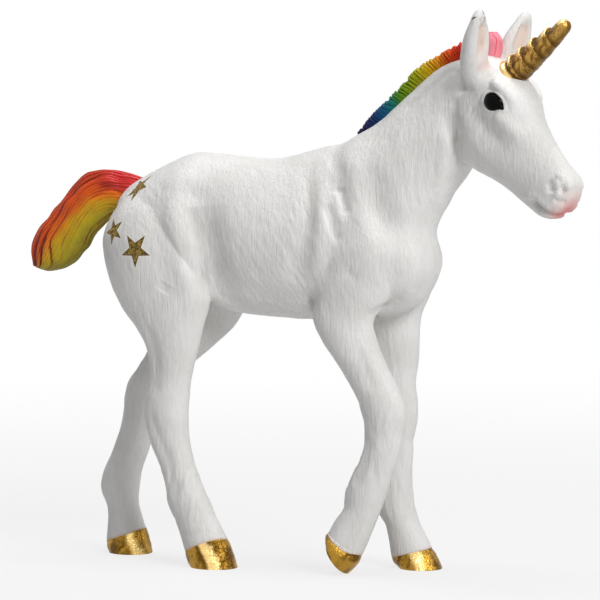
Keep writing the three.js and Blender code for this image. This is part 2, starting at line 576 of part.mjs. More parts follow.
const headPeg = (gap) => peg(headPegLine[1], headPegLine[0], headPegRadius, gap);
const neckPeg = (gap) => peg(neckPegLine[1], neckPegLine[0], neckPegRadius, gap);
const crestPieces = [mane(fitGap)];
const headSockets = [1, -1].flatMap((side) => [eye(side, fitGap), ear(side, fitGap)]);
const headPiece = subtractAll(
  skin.intersect(beyond(headSeam, halfGap)),
  horn(fitGap),
  forelock(fitGap),
  ...crestPieces,
  ...headSockets,
).add(headPeg(0));
const neckPiece = subtractAll(
  skin.intersect(beyond(neckSeam, halfGap)),
  beyond(headSeam, -halfGap),
  headPeg(fitGap),
  ...crestPieces,
).add(neckPeg(0));
let trunkPiece = subtractAll(skin, beyond(neckSeam, -halfGap), neckPeg(fitGap), tail(fitGap));

const legPiece = {};
for (const [name, { loft, plug }] of Object.entries(legs)) {
  const side = name.startsWith('left') ? 1 : -1;
  const seam = legSeams[name];
  const [px, py] = seam.peg;
  const legPeg = (gap) => peg([px, side * py, seam.z - 1.5], [px, side * py, seam.z + legPegLength],
    legPegRadius, gap);
  trunkPiece = subtractAll(trunkPiece, belowSeam(seam, side, -halfGap), legPeg(fitGap));
  legPiece[name] = loft.intersect(belowSeam(seam, side, halfGap)).add(plug).add(legPeg(0));
}

// Paint and plastic colours
const paint = {
  white: { color: 0xefeeeb, roughness: 0.55, metalness: 0 },
  gold: { color: 0xb58a2a, roughness: 0.3, metalness: 0.9 },
  black: { color: 0x0a0a0c, roughness: 0.12, metalness: 0 },
  tail: { color: 0xe0571c, roughness: 0.42, metalness: 0 },
  mane: { color: 0xb6b41e, roughness: 0.45, metalness: 0 },
  pink: { color: 0xf07f98, roughness: 0.5, metalness: 0 },
};
const materials = Object.fromEntries(
  Object.entries(paint).map(([name, look]) => [name, new THREE.MeshStandardMaterial(look)]),
);

const figurine = new THREE.Group();

function addPiece(name, solid, material) {
  const { vertProperties, numProp, numVert, triVerts } = solid.getMesh();
  const positions = new Float32Array(numVert * 3);
  for (let i = 0; i < numVert; i++) {
    const start = i * numProp;
    positions.set(vertProperties.subarray(start, start + 3), i * 3);
  }
  const geometry = new THREE.BufferGeometry();
  geometry.setAttribute('position', new THREE.BufferAttribute(positions, 3));
  geometry.setIndex(new THREE.BufferAttribute(triVerts, 1));
  const mesh = new THREE.Mesh(geometry, materials[material]);
  mesh.name = name;
  figurine.add(mesh);
}

addPiece('trunk', trunkPiece, 'white');
addPiece('neck', neckPiece, 'white');
addPiece('head', headPiece, 'white');
for (const [name, { hoof }] of Object.entries(legs)) {
  addPiece(`${name}_leg`, legPiece[name], 'white');
  addPiece(`${name}_hoof`, hoof, 'gold');
}
addPiece('tail', tail(0), 'tail');
addPiece('mane', mane(0), 'mane');
addPiece('forelock', forelock(0), 'pink');
addPiece('horn', horn(0), 'gold');
for (const [word, side] of [['left', 1], ['right', -1]]) {
  addPiece(`${word}_ear`, ear(side, 0), 'white');
  addPiece(`${word}_eye`, eye(side, 0), 'black');
}

// The origin is at the middle of the figurine's outline on the ground.
const middle = new THREE.Box3().setFromObject(figurine).getCenter(new THREE.Vector3());
figurine.position.set(-middle.x, -middle.y, -groundLevel);

export default figurine;
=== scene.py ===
import math

import bmesh
import bpy
import numpy as np
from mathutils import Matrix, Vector


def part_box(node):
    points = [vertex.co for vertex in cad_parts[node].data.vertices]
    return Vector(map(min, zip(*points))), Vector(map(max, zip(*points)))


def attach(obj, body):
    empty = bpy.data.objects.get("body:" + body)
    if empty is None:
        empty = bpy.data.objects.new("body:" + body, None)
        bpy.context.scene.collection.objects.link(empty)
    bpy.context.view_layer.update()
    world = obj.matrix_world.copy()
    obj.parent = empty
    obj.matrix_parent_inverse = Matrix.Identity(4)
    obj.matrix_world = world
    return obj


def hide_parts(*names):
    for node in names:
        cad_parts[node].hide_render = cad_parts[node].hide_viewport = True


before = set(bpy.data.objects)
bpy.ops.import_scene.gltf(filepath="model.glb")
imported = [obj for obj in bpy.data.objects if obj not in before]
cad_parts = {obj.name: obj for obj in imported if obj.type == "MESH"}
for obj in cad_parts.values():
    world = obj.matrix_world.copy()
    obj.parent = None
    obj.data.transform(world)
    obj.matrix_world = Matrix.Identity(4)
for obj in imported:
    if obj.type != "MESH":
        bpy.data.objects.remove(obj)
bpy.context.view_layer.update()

# A moulded unicorn foal figurine. Shapes are worked out in millimetres in the sculpt's own frame:
# +X to the nose, +Y to the animal's left, soles near Z = 0. toFrame moves them into the CAD frame, in metres.
hoofLow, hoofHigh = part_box("left_fore_hoof")
sculptHoof = {"toe": 23.785, "middle": 6.0, "sole": -0.3}  # the same hoof in the sculpt's frame
sculptShift = np.array([hoofHigh.x * 1000 - sculptHoof["toe"],
                        (hoofLow.y + hoofHigh.y) * 500 - sculptHoof["middle"], -sculptHoof["sole"]])

coat = {
    "grain": 0.25,  # side of one face of the skin, in mm
    "firstSoften": 5,  # rounds of smoothing, before and after the joins are drawn out
    "lastSoften": 8,
    "joinRounds": 124,  # rounds that stretch the skin over the joins of body and of face
    "faceRounds": 20,
    "hair": ((0.6, 1.15, 0.2, 3), (0.5, 2.0, 0.33, 4)),  # share, fineness across and along, seed
    "hairDepth": 0.12,
    "lumpDepth": 0.064,
    "fineDepth": 0.012,
    "barePart": (0.75, 0.7),  # how much less hair and fewer lumps the muzzle has
    "hollows": ((0.5, 11, 0.12), (0.8, 70, 0.45)),  # share, rounds of smoothing, full depth in mm
}


# Numbers and curves

def smooth(t):
    t = np.clip(t, 0, 1)
    return t * t * (3 - 2 * t)


def bell(t, middle, width):
    # 1 at the middle, falling off as e to the minus square of the distance in widths
    return np.exp(-((t - middle) / width) ** 2)


def between(rows, places):
    # Uniform Catmull-Rom through the rows: half the cubic of the two rows before and after each place
    rows = np.asarray(rows, float)
    first = np.clip(np.floor(places).astype(int), 0, len(rows) - 2)
    t = (places - first)[:, None]
    p0 = rows[np.maximum(first - 1, 0)]
    p1 = rows[first]
    p2 = rows[first + 1]
    p3 = rows[np.minimum(first + 2, len(rows) - 1)]
    return 0.5 * (2 * p1 + (p2 - p0) * t + (2 * p0 - 5 * p1 + 4 * p2 - p3) * t ** 2
                  + (3 * p1 - p0 - 3 * p2 + p3) * t ** 3)


def curveThrough(points, count):
    return between(points, np.linspace(0, len(points) - 1, count))


def cellHash(x, y, z, seed):
    # A whole number for each cell, stirred until it looks random, from 0 to 1
    h = (x * 374761393 + y * 668265263 + z * 2246822519 + seed * 3266489917) & 0xFFFFFFFF
    h = ((h ^ (h >> 13)) * 1274126177) & 0xFFFFFFFF
    return ((h ^ (h >> 16)) & 0xFFFF) / 65535.0


def noise(points, seed=0):
    # Value noise: the eight corners of each point's cell, blended by smoothed distances, from -1 to 1
    points = np.asarray(points, float)
    cell = np.floor(points).astype(np.int64)
    t = smooth(points - cell)
    total = np.zeros(points.shape[:-1])
    for corner in range(8):
        step = np.array([corner & 1, corner >> 1 & 1, corner >> 2 & 1])
        weight = np.prod(np.where(step, t, 1 - t), axis=-1)
        total += weight * cellHash(*np.moveaxis(cell + step, -1, 0), seed)
    return 2 * total - 1


# Lofts: sections carried from rib to rib

def rib(front, back, half, y=0.0, wide=0.5, square=(2.0, 2.0)):
    # front and back are (x, z) in the side view; wide is where the section is widest, square how boxy it is
    return (*front, *back, half, y, wide, *square)


def sectionPoints(numbers, angles, grow=0.0):
    # Centre + along * cos^p * reach + across * sin^p * half; front and back halves have their own power p
    fx, fz, bx, bz, half, y, wide, squareFront, squareBack = [c[:, None] for c in numbers.T]
    u, v = np.cos(angles)[None, :], np.sin(angles)[None, :]
    depth = np.hypot(fx - bx, fz - bz)
    power = np.where(u >= 0, 2 / squareFront, 2 / squareBack)
    reach = np.where(u >= 0, 1 - wide, wide) * depth + grow
    out = np.sign(u) * np.abs(u) ** power * reach
    across = np.sign(v) * np.abs(v) ** power * (half + grow)
    x = bx + (fx - bx) * wide + (fx - bx) / depth * out
    z = bz + (fz - bz) * wide + (fz - bz) / depth * out
    return np.stack([x, y + across, z], axis=-1)


def closedGrid(grid):
    # Rings of points joined into quads, with a fan of triangles over each end
    rings, sides = grid.shape[:2]
    index = np.arange(rings * sides).reshape(rings, sides)
    beside = np.roll(index, -1, axis=1)
    quads = np.stack([index[:-1], beside[:-1], beside[1:], index[1:]], axis=-1).reshape(-1, 4)
    triangles = np.concatenate([quads[:, [0, 1, 2]], quads[:, [0, 2, 3]]])
    start, end = rings * sides, rings * sides + 1
    caps = np.concatenate([
        np.stack([np.full(sides, start), beside[0], index[0]], axis=-1),
        np.stack([np.full(sides, end), index[-1], beside[-1]], axis=-1),
    ])
    points = np.concatenate([grid.reshape(-1, 3), grid[0].mean(0)[None], grid[-1].mean(0)[None]])
    return outwards(points, np.concatenate([triangles, caps]))


def outwards(points, triangles):
    # Signed volume from the sum of corner products; a negative one means the faces point in
    a, b, c = (points[triangles[:, k]] for k in range(3))
    volume = np.einsum("ij,ij->i", a, np.cross(b, c)).sum()
    return (points, triangles) if volume > 0 else (points, triangles[:, ::-1])


def ribLoft(ribs, sides=72, steps=8, grow=0.0, place=None):
    places = np.linspace(0, len(ribs) - 1, (len(ribs) - 1) * steps + 1)
    grid = sectionPoints(between(ribs, places), np.arange(sides) / sides * 2 * np.pi, grow)
    return closedGrid(grid if place is None else place(grid))


def ellipsoid(centre, radii, tilt=0.0, place=None, sides=48):
    # Circles of latitude, stretched by the radii and tilted about the side axis
    latitude = np.linspace(-np.pi / 2, np.pi / 2, sides // 2)[1:-1, None]
    longitude = np.arange(sides)[None, :] / sides * 2 * np.pi
    ball = np.stack([np.cos(latitude) * np.cos(longitude), np.cos(latitude) * np.sin(longitude),
                     np.sin(latitude) + 0 * longitude], axis=-1) * radii
    c, s = math.cos(tilt), math.sin(tilt)
    grid = ball @ np.array([[c, 0, -s], [0, 1, 0], [s, 0, c]]) + np.asarray(centre)
    return closedGrid(grid if place is None else place(grid))


def joined(parts):
    points, triangles, offset = [], [], 0
    for p, t in parts:
        points.append(p)
        triangles.append(t + offset)
        offset += len(p)
    return np.concatenate(points), np.concatenate(triangles)


# The animal's ribs, as the solids have them

trunkRibs = [
    rib((-33.4, 60.5), (-33.4, 55.5), 2.6),
    rib((-32.4, 64.4), (-32.0, 52.5), 6.0),
    rib((-29.0, 67.0), (-28.4, 50.0), 7.6, square=(2, 2.2)),
    rib((-24.5, 69.3), (-23.4, 47.6), 8.7, square=(2, 2.2)),
    rib((-19.6, 71.1), (-18.2, 45.6), 8.9, square=(2, 2.2)),
    rib((-14.4, 71.0), (-13.0, 43.9), 8.4, wide=0.48, square=(2, 2.1)),
    rib((-8.6, 70.5), (-7.4, 43.2), 8.7, wide=0.46, square=(2, 2.1)),
    rib((-3.0, 70.5), (-2.0, 42.9), 8.8, wide=0.46, square=(1.95, 2.1)),
    rib((2.4, 71.9), (3.0, 42.8), 8.7, wide=0.45, square=(1.85, 2.1)),
    rib((7.4, 73.2), (7.6, 43.2), 8.4, wide=0.44, square=(1.75, 2.1)),
    rib((11.4, 73.8), (12.2, 43.6), 8.3, wide=0.42, square=(1.75, 2.1)),
    rib((15.6, 70.5), (16.4, 43.9), 8.1, wide=0.42, square=(1.85, 2.1)),
    rib((19.6, 65.0), (19.8, 44.6), 7.6, wide=0.44),
    rib((23.0, 59.6), (22.6, 46.6), 6.6, wide=0.48, square=(2.1, 2.2)),
    rib((24.6, 57.0), (24.1, 48.8), 5.0),
    rib((25.5, 54.9), (25.3, 51.3), 2.4),
]
neckRibs = [
    rib((4.0, 70.0), (18.6, 49.0), 6.2),
    rib((7.8, 73.0), (22.0, 53.4), 7.1),
    rib((11.4, 75.2), (24.3, 57.6), 7.2, square=(1.9, 2)),
    rib((15.2, 77.4), (26.0, 61.4), 6.7, square=(1.8, 2)),
    rib((18.8, 80.5), (28.2, 65.0), 6.1, -0.1, square=(1.8, 2)),
    rib((22.4, 83.6), (30.6, 68.0), 5.5, -0.4, square=(1.8, 2)),
    rib((26.0, 86.3), (33.4, 71.8), 4.9, -0.9, square=(1.8, 2)),
    rib((29.4, 87.8), (36.0, 76.2), 4.2, -1.6),
    rib((32.4, 87.4), (37.2, 80.2), 3.0, -2.2),
]
headRibs = [
    rib((-1.8, 86.6), (-2.8, 83.2), 2.0),
    rib((1.4, 88.6), (-2.9, 79.4), 3.9),
    rib((5.0, 88.6), (-2.4, 75.8), 4.8, wide=0.52),
    rib((8.9, 86.4), (-1.1, 72.6), 5.3, wide=0.55, square=(2.2, 2)),
    rib((12.0, 83.9), (1.0, 69.6), 5.4, wide=0.55, square=(2.3, 2)),
    rib((14.1, 81.3), (4.2, 68.1), 5.1, wide=0.52, square=(2.2, 2)),
    rib((15.1, 78.5), (7.2, 66.8), 4.4, square=(2.1, 2)),
    rib((16.7, 75.8), (9.8, 65.3), 3.7),
    rib((18.5, 73.3), (12.0, 63.8), 3.2),
    rib((20.4, 70.9), (13.9, 62.5), 3.0),
    rib((22.0, 69.0), (15.6, 61.6), 3.2, square=(2.2, 2.2)),
    rib((22.9, 67.1), (17.4, 61.2), 3.1, square=(2.2, 2.2)),
    rib((22.7, 65.1), (19.2, 61.4), 2.5),
    rib((21.6, 63.4), (20.2, 62.0), 1.4),
]
# Each rib of a leg: front x, front z, back x, back z; then its half width and its distance from the middle
legPaths = {
    "right_hind": [
        (-22.0, 65.2, -29.0, 65.0), (-19.2, 61.2, -32.6, 61.2), (-17.0, 55.6, -34.7, 56.0),
        (-15.2, 50.0, -33.8, 49.8), (-14.8, 45.4, -31.1, 44.4), (-15.9, 41.0, -27.9, 40.6),
        (-17.0, 36.6, -25.9, 36.6), (-18.0, 32.2, -25.6, 32.4), (-18.4, 28.6, -26.3, 28.8),
        (-18.5, 25.0, -26.3, 25.2), (-18.2, 21.4, -25.3, 20.8), (-17.4, 18.0, -23.7, 17.4),
        (-16.3, 14.9, -22.5, 13.8), (-14.9, 12.0, -21.8, 10.4), (-13.4, 8.8, -20.5, 7.6),
        (-11.2, 4.7, -18.7, 2.0),
    ],
    "left_hind": [
        (-22.0, 65.2, -29.0, 65.0), (-18.6, 61.2, -32.6, 61.2), (-15.0, 55.8, -34.6, 56.0),
        (-12.8, 50.4, -34.6, 49.8), (-12.2, 45.8, -33.4, 44.6), (-14.2, 41.4, -31.8, 40.4),
        (-19.0, 37.0, -31.2, 36.6), (-23.8, 33.0, -33.0, 33.2), (-27.6, 29.4, -35.1, 30.0),
        (-29.2, 25.6, -35.8, 26.0), (-30.4, 21.8, -36.7, 22.2), (-31.6, 18.0, -38.3, 18.0),
        (-32.8, 14.6, -40.0, 14.0), (-33.4, 11.4, -40.2, 11.0), (-33.5, 8.2, -39.1, 7.6),
        (-32.2, 4.2, -39.4, 1.6),
    ],
    "right_fore": [
        (16.0, 62.0, 9.0, 62.0), (20.4, 56.4, 7.4, 57.4), (20.8, 51.4, 5.6, 51.6), (18.6, 47.0, 4.4, 46.4),
        (15.6, 43.4, 4.7, 42.8), (16.4, 39.8, 6.5, 39.6), (18.0, 36.3, 9.1, 36.3),
        (19.7, 33.0, 11.4, 32.8), (21.1, 29.8, 13.2, 29.8), (21.7, 26.8, 14.3, 26.5),
        (21.2, 23.4, 14.4, 23.0), (20.3, 19.8, 13.5, 19.6), (19.2, 16.6, 12.1, 16.8),
        (18.3, 14.0, 11.2, 14.0), (17.0, 10.4, 10.7, 11.2), (15.6, 7.2, 9.1, 9.0), (13.7, 3.2, 7.9, 6.9),
    ],
    "left_fore": [
        (16.0, 62.0, 9.0, 62.0), (23.0, 56.4, 7.4, 57.4), (23.7, 51.8, 6.4, 51.6), (21.9, 47.2, 6.8, 46.2),
        (20.2, 43.4, 8.4, 42.8), (19.8, 39.6, 10.2, 39.4), (19.5, 36.0, 11.2, 35.8),
        (19.0, 32.4, 11.6, 32.2), (19.0, 28.8, 11.7, 28.6), (19.1, 25.3, 12.0, 25.0),
        (18.7, 21.0, 12.3, 21.0), (18.4, 17.0, 12.4, 17.0), (18.4, 13.8, 12.1, 13.4),
        (18.8, 10.4, 12.5, 9.8), (19.9, 7.2, 13.9, 6.8), (21.9, 3.4, 14.9, 1.6),
    ],
}
legWidths = {
    "hind": [
        (2.0, 3.6), (3.8, 4.8), (4.7, 5.2), (4.6, 5.3), (4.3, 5.4), (3.7, 5.7), (3.1, 5.9), (2.8, 6.0),
        (2.9, 6.1), (2.7, 6.2), (2.5, 6.2), (2.4, 6.2), (2.6, 6.2), (2.8, 6.2), (2.7, 6.2), (3.0, 6.2),
    ],
    "right_fore": [
        (2.2, 4.9), (3.6, 5.1), (4.0, 5.0), (3.9, 5.1), (3.5, 5.4), (3.2, 5.7), (2.9, 6.0), (2.8, 6.0),
        (2.9, 6.0), (2.9, 6.0), (2.6, 6.0), (2.4, 6.0), (2.5, 6.0), (2.7, 6.0), (2.6, 6.0), (2.7, 6.0),
        (2.9, 6.0),
    ],
    "left_fore": [
        (2.2, 4.9), (3.6, 5.1), (4.0, 5.0), (3.9, 5.1), (3.5, 5.4), (3.2, 5.7), (2.9, 6.0), (2.8, 6.0),
        (2.9, 6.0), (2.8, 6.0), (2.5, 6.0), (2.4, 6.0), (2.7, 6.0), (2.7, 6.0), (2.7, 6.0), (3.0, 6.0),
    ],
}
legRibs = {name: [rib((fx, fz), (bx, bz), half, y) for (fx, fz, bx, bz), (half, y)
                  in zip(path, legWidths["hind" if "hind" in name else name])]
           for name, path in legPaths.items()}
legSide = {"right_hind": -1, "left_hind": 1, "right_fore": -1, "left_fore": 1}

head = {
    "yaw": math.radians(-18),
    "pivot": (31.0, -1.0),
    "brow": ((10.4, 3.8, 82.4), (3.0, 1.3, 1.4), 0.75),
    "cheek": ((3.4, 2.0, 74.6), (4.8, 3.0, 5.0), 0.0),
    "nostril": ((20.5, 2.05, 66.4), (1.7, 1.2, 1.9), 0.6),
}


def onHead(points):
    # Turns forward, side, up in the head's own frame about the upright axis through the poll
    points = np.asarray(points, float)
    c, s = math.cos(head["yaw"]), math.sin(head["yaw"])
    h, side = points[..., 0], points[..., 1]
    return np.stack([head["pivot"][0] + h * c - side * s, head["pivot"][1] + h * s + side * c,
                     points[..., 2]], axis=-1)


def offHead(points):
    c, s = math.cos(head["yaw"]), math.sin(head["yaw"])
    x, y = points[..., 0] - head["pivot"][0], points[..., 1] - head["pivot"][1]
    return np.stack([x * c + y * s, -x * s + y * c, points[..., 2]], axis=-1)


def legTable(name):
    rows = np.array(legRibs[name])
    rows[:, 5] *= legSide[name]
    return rows


def coronetFrame(name):
    # The coronet's middle, its direction from heel to toe, the direction down out of it, and half its depth
    row = legTable(name)[-1]
    ahead = row[0:2] - row[2:4]
    depth = np.linalg.norm(ahead)
    ahead /= depth
    down = np.array([ahead[1], -ahead[0]])
    return row, (row[0:2] + row[2:4]) / 2, ahead, down, depth / 2


def coronetRow(name, by, share):
    # The coronet's section moved down by so many mm and shrunk about its middle
    row, middle, _, down, _ = coronetFrame(name)
    row = row.copy()
    for k in (0, 2):
        row[k:k + 2] = middle + (row[k:k + 2] - middle) * share + down * by
    row[4] *= share
    return row


coronetEdge = {
    # how far the edge dips at the sides, in mm
    "dip": {"right_hind": -0.6, "left_hind": 0.0, "right_fore": 0.35, "left_fore": 0.1},
    "wander": 0.16,
}


def belowCoronet(points, name):
    # How far a point lies past the gold's edge: its depth under the coronet, less a dip towards the sides
    row, middle, ahead, down, reach = coronetFrame(name)
    local = points[:, [0, 2]] - middle
    u = local @ ahead / reach
    v = (points[:, 1] - row[5]) / row[4]
    sideways = np.abs(v) / np.maximum(np.hypot(u, v), 0.05)
    edge = coronetEdge["dip"][name] * sideways + coronetEdge["wander"] * noise(points * 0.55, 21)
    return local @ down - edge


# Painted highlight on the gold hooves: a bright streak painted where polished gold would reflect the light
hoofGleam = {  # how bright the gold's streak is, and where it lies from heel (-1) to toe (1)
    "right_hind": (1.0, 0.22), "left_hind": (0.75, 0.45), "right_fore": (0.2, 0.3), "left_fore": (0.9, 0.4),
}


def gleamAt(points, name):
    # The painted highlight: a bell across the hoof's length, bent a little by noise
    _, middle, ahead, down, reach = coronetFrame(name)
    local = points[:, [0, 2]] - middle
    strength, place = hoofGleam[name]
    u = (local @ ahead) / reach + 0.10 * noise(points * 0.8, 23) - 0.05 * (local @ down)
    return strength * bell(u, place, 0.27)


def onLeg(name, places):
    # Points on a leg's loft: each is (rib number, degrees from the front towards the outer side)
    places = np.asarray(places, float)
    rows = between(legTable(name), places[:, 0])
    angles = np.radians(places[:, 1]) * legSide[name]
    return np.array([sectionPoints(r[None], np.array([a]))[0, 0] for r, a in zip(rows, angles)])


# Ears: leaves that grow out of the head

earShape = {
    "root": (4.6, 4.7, 86.0),
    "left": {"lean": (2.6, 2.9, 10.4), "length": 10.1, "width": 5.3},
    "right": {"lean": (3.8, 3.1, 10.4), "length": 10.9, "width": 6.0},
    "depthShare": 0.68,
    "facing": math.radians(-8),
    "stub": 4.0,
    "hollow": 1.25,
    "seam": 0.24,  # where the ear is parted from the head, as a share of its length
}


def earFrame(word):
    # The ear's root, the directions to its tip, across and out of its opening, and its length and width
    side = 1 if word == "left" else -1
    own = earShape[word]
    axis = np.array(own["lean"]) * (1, side, 1)
    axis /= np.linalg.norm(axis)
    facing = np.array([math.cos(earShape["facing"]), side * math.sin(earShape["facing"]), 0])
    facing -= axis * (facing @ axis)
    facing /= np.linalg.norm(facing)
    root = np.array(earShape["root"]) * (1, side, 1)
    return root, axis, np.cross(axis, facing), facing, own["length"], own["width"]


def earHalf(t, width):
    # Half the width at a share t of the length: a leaf that is fullest low down and rounds off at the tip
    inner = np.clip(t, 0, 1)
    return (width / 2 + 0.15) * (0.78 + 0.22 * np.sin(np.pi * np.minimum(1, inner * 1.05 + 0.16))) \
        * np.sqrt(np.maximum(0.002, 1 - inner ** 4.0))


def earLeaf(word):
    root, axis, across, facing, length, width = earFrame(word)
    t = 1 - (1 - np.linspace(0, 1, 60)) ** 1.5
    hidden = earShape["stub"] / length
    t = (-hidden + t * (1 + hidden))[:, None]
    angle = np.arange(64)[None, :] / 64 * 2 * np.pi
    sunk = np.clip(-t / hidden, 0, 1)  # the stub narrows and bends into the head
    half = (earHalf(t, width) + 0.3 * smooth((0.16 - t) / 0.24)) * (1 - 0.5 * sunk)
    inwards = np.array([-0.6, -3.0 if word == "left" else 3.0, 0.0])
    grid = (root + axis * (t * length)[..., None] + inwards * (sunk ** 1.2)[..., None]
            + across * (np.cos(angle) * half)[..., None]
            + facing * (np.sin(angle) * half * earShape["depthShare"])[..., None])
    return closedGrid(onHead(grid))


def earPlaces(points, word):
    # Each point of the skin as a share of the ear's length, and its distances across and out of the opening
    root, axis, across, facing, length, width = earFrame(word)
    local = offHead(points) - root
    t = local @ axis / length
    near = (np.linalg.norm(local - axis * (local @ axis)[:, None], axis=1) < 4.6) & (t > -0.15) & (t < 1.2)
    return near, t, local @ across, local @ facing, width


def hollowEars():
    # The opening is pressed in along its own direction, between two thick rims
    inside = np.zeros(skin.count)
    tip = np.zeros(skin.count)
    foot = np.zeros(skin.count)
    for word in ("left", "right"):
        near, t, sideways, forward, width = earPlaces(skin.points, word)
        half = np.maximum(earHalf(t, width), 0.2)
        lean = np.abs(sideways) / half
        tall = smooth((t - 0.14) / 0.3) * smooth((0.90 - t) / 0.2)
        pressed = smooth((0.80 - lean) / 0.5) * smooth((forward + 0.3) / 0.6) * tall * near
        direction = onHead(earFrame(word)[3][None])[0] - onHead(np.zeros((1, 3)))[0]
        skin.points -= direction * (pressed * earShape["hollow"] * half / 2.6)[:, None]
        inside = np.maximum(inside, pressed)
        tip = np.maximum(tip, t * near * (1 if word == "right" else 0.86))
        low = smooth((0.42 - t) / 0.3) * smooth((t + 0.05) / 0.15)
        foot = np.maximum(foot, near * low * smooth(forward / 0.8) * smooth((1.0 - lean) / 0.6))
    skin.refresh()
    return inside, tip, foot


# The skin as one mesh

def meshOf(name, points, triangles):
    mesh = bpy.data.meshes.new(name)
    mesh.vertices.add(len(points))
    mesh.vertices.foreach_set("co", np.asarray(points, np.float32).ravel())
    mesh.loops.add(triangles.size)
    mesh.loops.foreach_set("vertex_index", np.asarray(triangles, np.int32).ravel())
    mesh.polygons.add(len(triangles))
    mesh.polygons.foreach_set("loop_start", np.arange(len(triangles), dtype=np.int32) * 3)
    mesh.polygons.foreach_set("loop_total", np.full(len(triangles), 3, np.int32))
    mesh.update(calc_edges=True)
    return mesh


def arraysOf(mesh):
    points = np.empty(len(mesh.vertices) * 3)
    mesh.vertices.foreach_get("co", points)
    mesh.calc_loop_triangles()
    triangles = np.empty(len(mesh.loop_triangles) * 3, np.int32)
    mesh.loop_triangles.foreach_get("vertices", triangles)
    edges = np.empty(len(mesh.edges) * 2, np.int32)
    mesh.edges.foreach_get("vertices", edges)
    return points.reshape(-1, 3), triangles.reshape(-1, 3), edges.reshape(-1, 2)


def voxelSkin(parts, grain):
    # One even skin of quads round everything that overlaps
    source = bpy.data.objects.new("skinSource", meshOf("skinSource", *joined(parts)))
    bpy.context.scene.collection.objects.link(source)
    remesh = source.modifiers.new("remesh", "REMESH")
    remesh.mode = "VOXEL"
    remesh.voxel_size = grain
    evaluated = source.evaluated_get(bpy.context.evaluated_depsgraph_get())
    mesh = bpy.data.meshes.new_from_object(evaluated)
    bpy.data.objects.remove(source)
    return mesh


def vertexNormals(points, triangles):
    # Each face's cross product added to its three corners, then made one long
    a, b, c = (points[triangles[:, k]] for k in range(3))
    face = np.cross(b - a, c - a)
    total = np.stack([np.bincount(triangles.ravel(), np.repeat(face[:, k], 3), len(points))
                      for k in range(3)], axis=-1)
    return total / np.maximum(np.linalg.norm(total, axis=1, keepdims=True), 1e-12)


class Skin:
    # The points of the skin with what is needed to smooth and to sculpt them
    def __init__(self, mesh):
        self.mesh = mesh
        self.points, self.triangles, self.edges = arraysOf(mesh)
        self.count = len(self.points)
        self.ends = self.edges.ravel()
        self.degree = np.maximum(np.bincount(self.ends, minlength=self.count), 1)[:, None]
        self.others = self.edges[:, ::-1].ravel()
        self.refresh()

    def refresh(self):
        self.normals = vertexNormals(self.points, self.triangles)

    def around(self, values):
        # The mean of each point's neighbours
        values = values.reshape(self.count, -1)
        sums = [np.bincount(self.ends, values[self.others, k], self.count) for k in range(values.shape[1])]
        return np.stack(sums, axis=-1) / self.degree

    def relax(self, rounds, strength=1.0):
        for _ in range(rounds):
            self.points += (self.around(self.points) - self.points) * 0.6 * strength

    def soften(self, rounds):
        # A step towards the neighbours' mean and a slightly longer step back, so that nothing shrinks
        for _ in range(rounds):
            self.points += (self.around(self.points) - self.points) * 0.5
            self.points -= (self.around(self.points) - self.points) * 0.53

    def spread(self, values, rounds):
        for _ in range(rounds):
            values = 0.4 * values + 0.6 * self.around(values)[:, 0]
        return values


def ballWeights(points, balls):
    # 1 near a ball's centre and 0 outside it, the greatest of all balls
    weight = np.zeros(len(points))
    for *centre, radius in balls:
        distance = np.linalg.norm(points - centre, axis=1) / radius
        weight = np.maximum(weight, smooth((1 - distance) * 1.6))
    return weight


def lineDistance(points, path):
    # The distance to a line of short segments, and how far along it the nearest place is
    lengths = np.linalg.norm(np.diff(path, axis=0), axis=1)
    starts = np.concatenate([[0], np.cumsum(lengths)])
    best = np.full(len(points), 1e9)
    along = np.zeros(len(points))
    for a, b, start, length in zip(path[:-1], path[1:], starts, lengths):
        t = np.clip((points - a) @ (b - a) / max(length ** 2, 1e-9), 0, 1)
        distance = np.linalg.norm(points - a - t[:, None] * (b - a), axis=1)
        nearer = distance < best
        best = np.where(nearer, distance, best)
        along = np.where(nearer, start + t * length, along)
    return best, along / max(starts[-1], 1e-9)


def strokeAmount(skin, path, depth, width):
    # Depth times a bell across the line, tapered at both ends, and only on skin that faces as the line does
    path = curveThrough(np.asarray(path, float), 4 * len(path)) if len(path) > 1 else np.asarray(path, float)
    low, high = path.min(0) - 2.6 * width, path.max(0) + 2.6 * width
    near = np.flatnonzero(np.all((skin.points > low) & (skin.points < high), axis=1))
    amount = np.zeros(skin.count)
    if len(near) == 0:
        return amount
    points = skin.points[near]
    if len(path) == 1:
        distance, along = np.linalg.norm(points - path[0], axis=1), np.full(len(near), 0.5)
    else:
        distance, along = lineDistance(points, path)
    touching = np.argmin(np.linalg.norm(points[None] - path[::4, None], axis=2), axis=1)
    outward = skin.normals[near][touching].mean(0)
    outward /= np.linalg.norm(outward)
    facing = smooth((skin.normals[near] @ outward) * 2.2 - 0.1)
    run, least = (0.2, 0.15) if width < 1.4 else (0.5, 0.4)
    taper = smooth(np.minimum(along, 1 - along) / run + least)
    amount[near] = depth * np.exp(-(distance / width) ** 2) * taper * facing
    return amount


def sculpt(skin, strokes):
    total = np.zeros(skin.count)
    for path, depth, width in strokes:
        total += strokeAmount(skin, path, depth, width)
    skin.points += skin.normals * total[:, None]
    skin.refresh()


def bothSides(strokes):
    return [(np.asarray(path, float) * (1, side, 1), depth, width)
            for path, depth, width in strokes for side in (1, -1)]


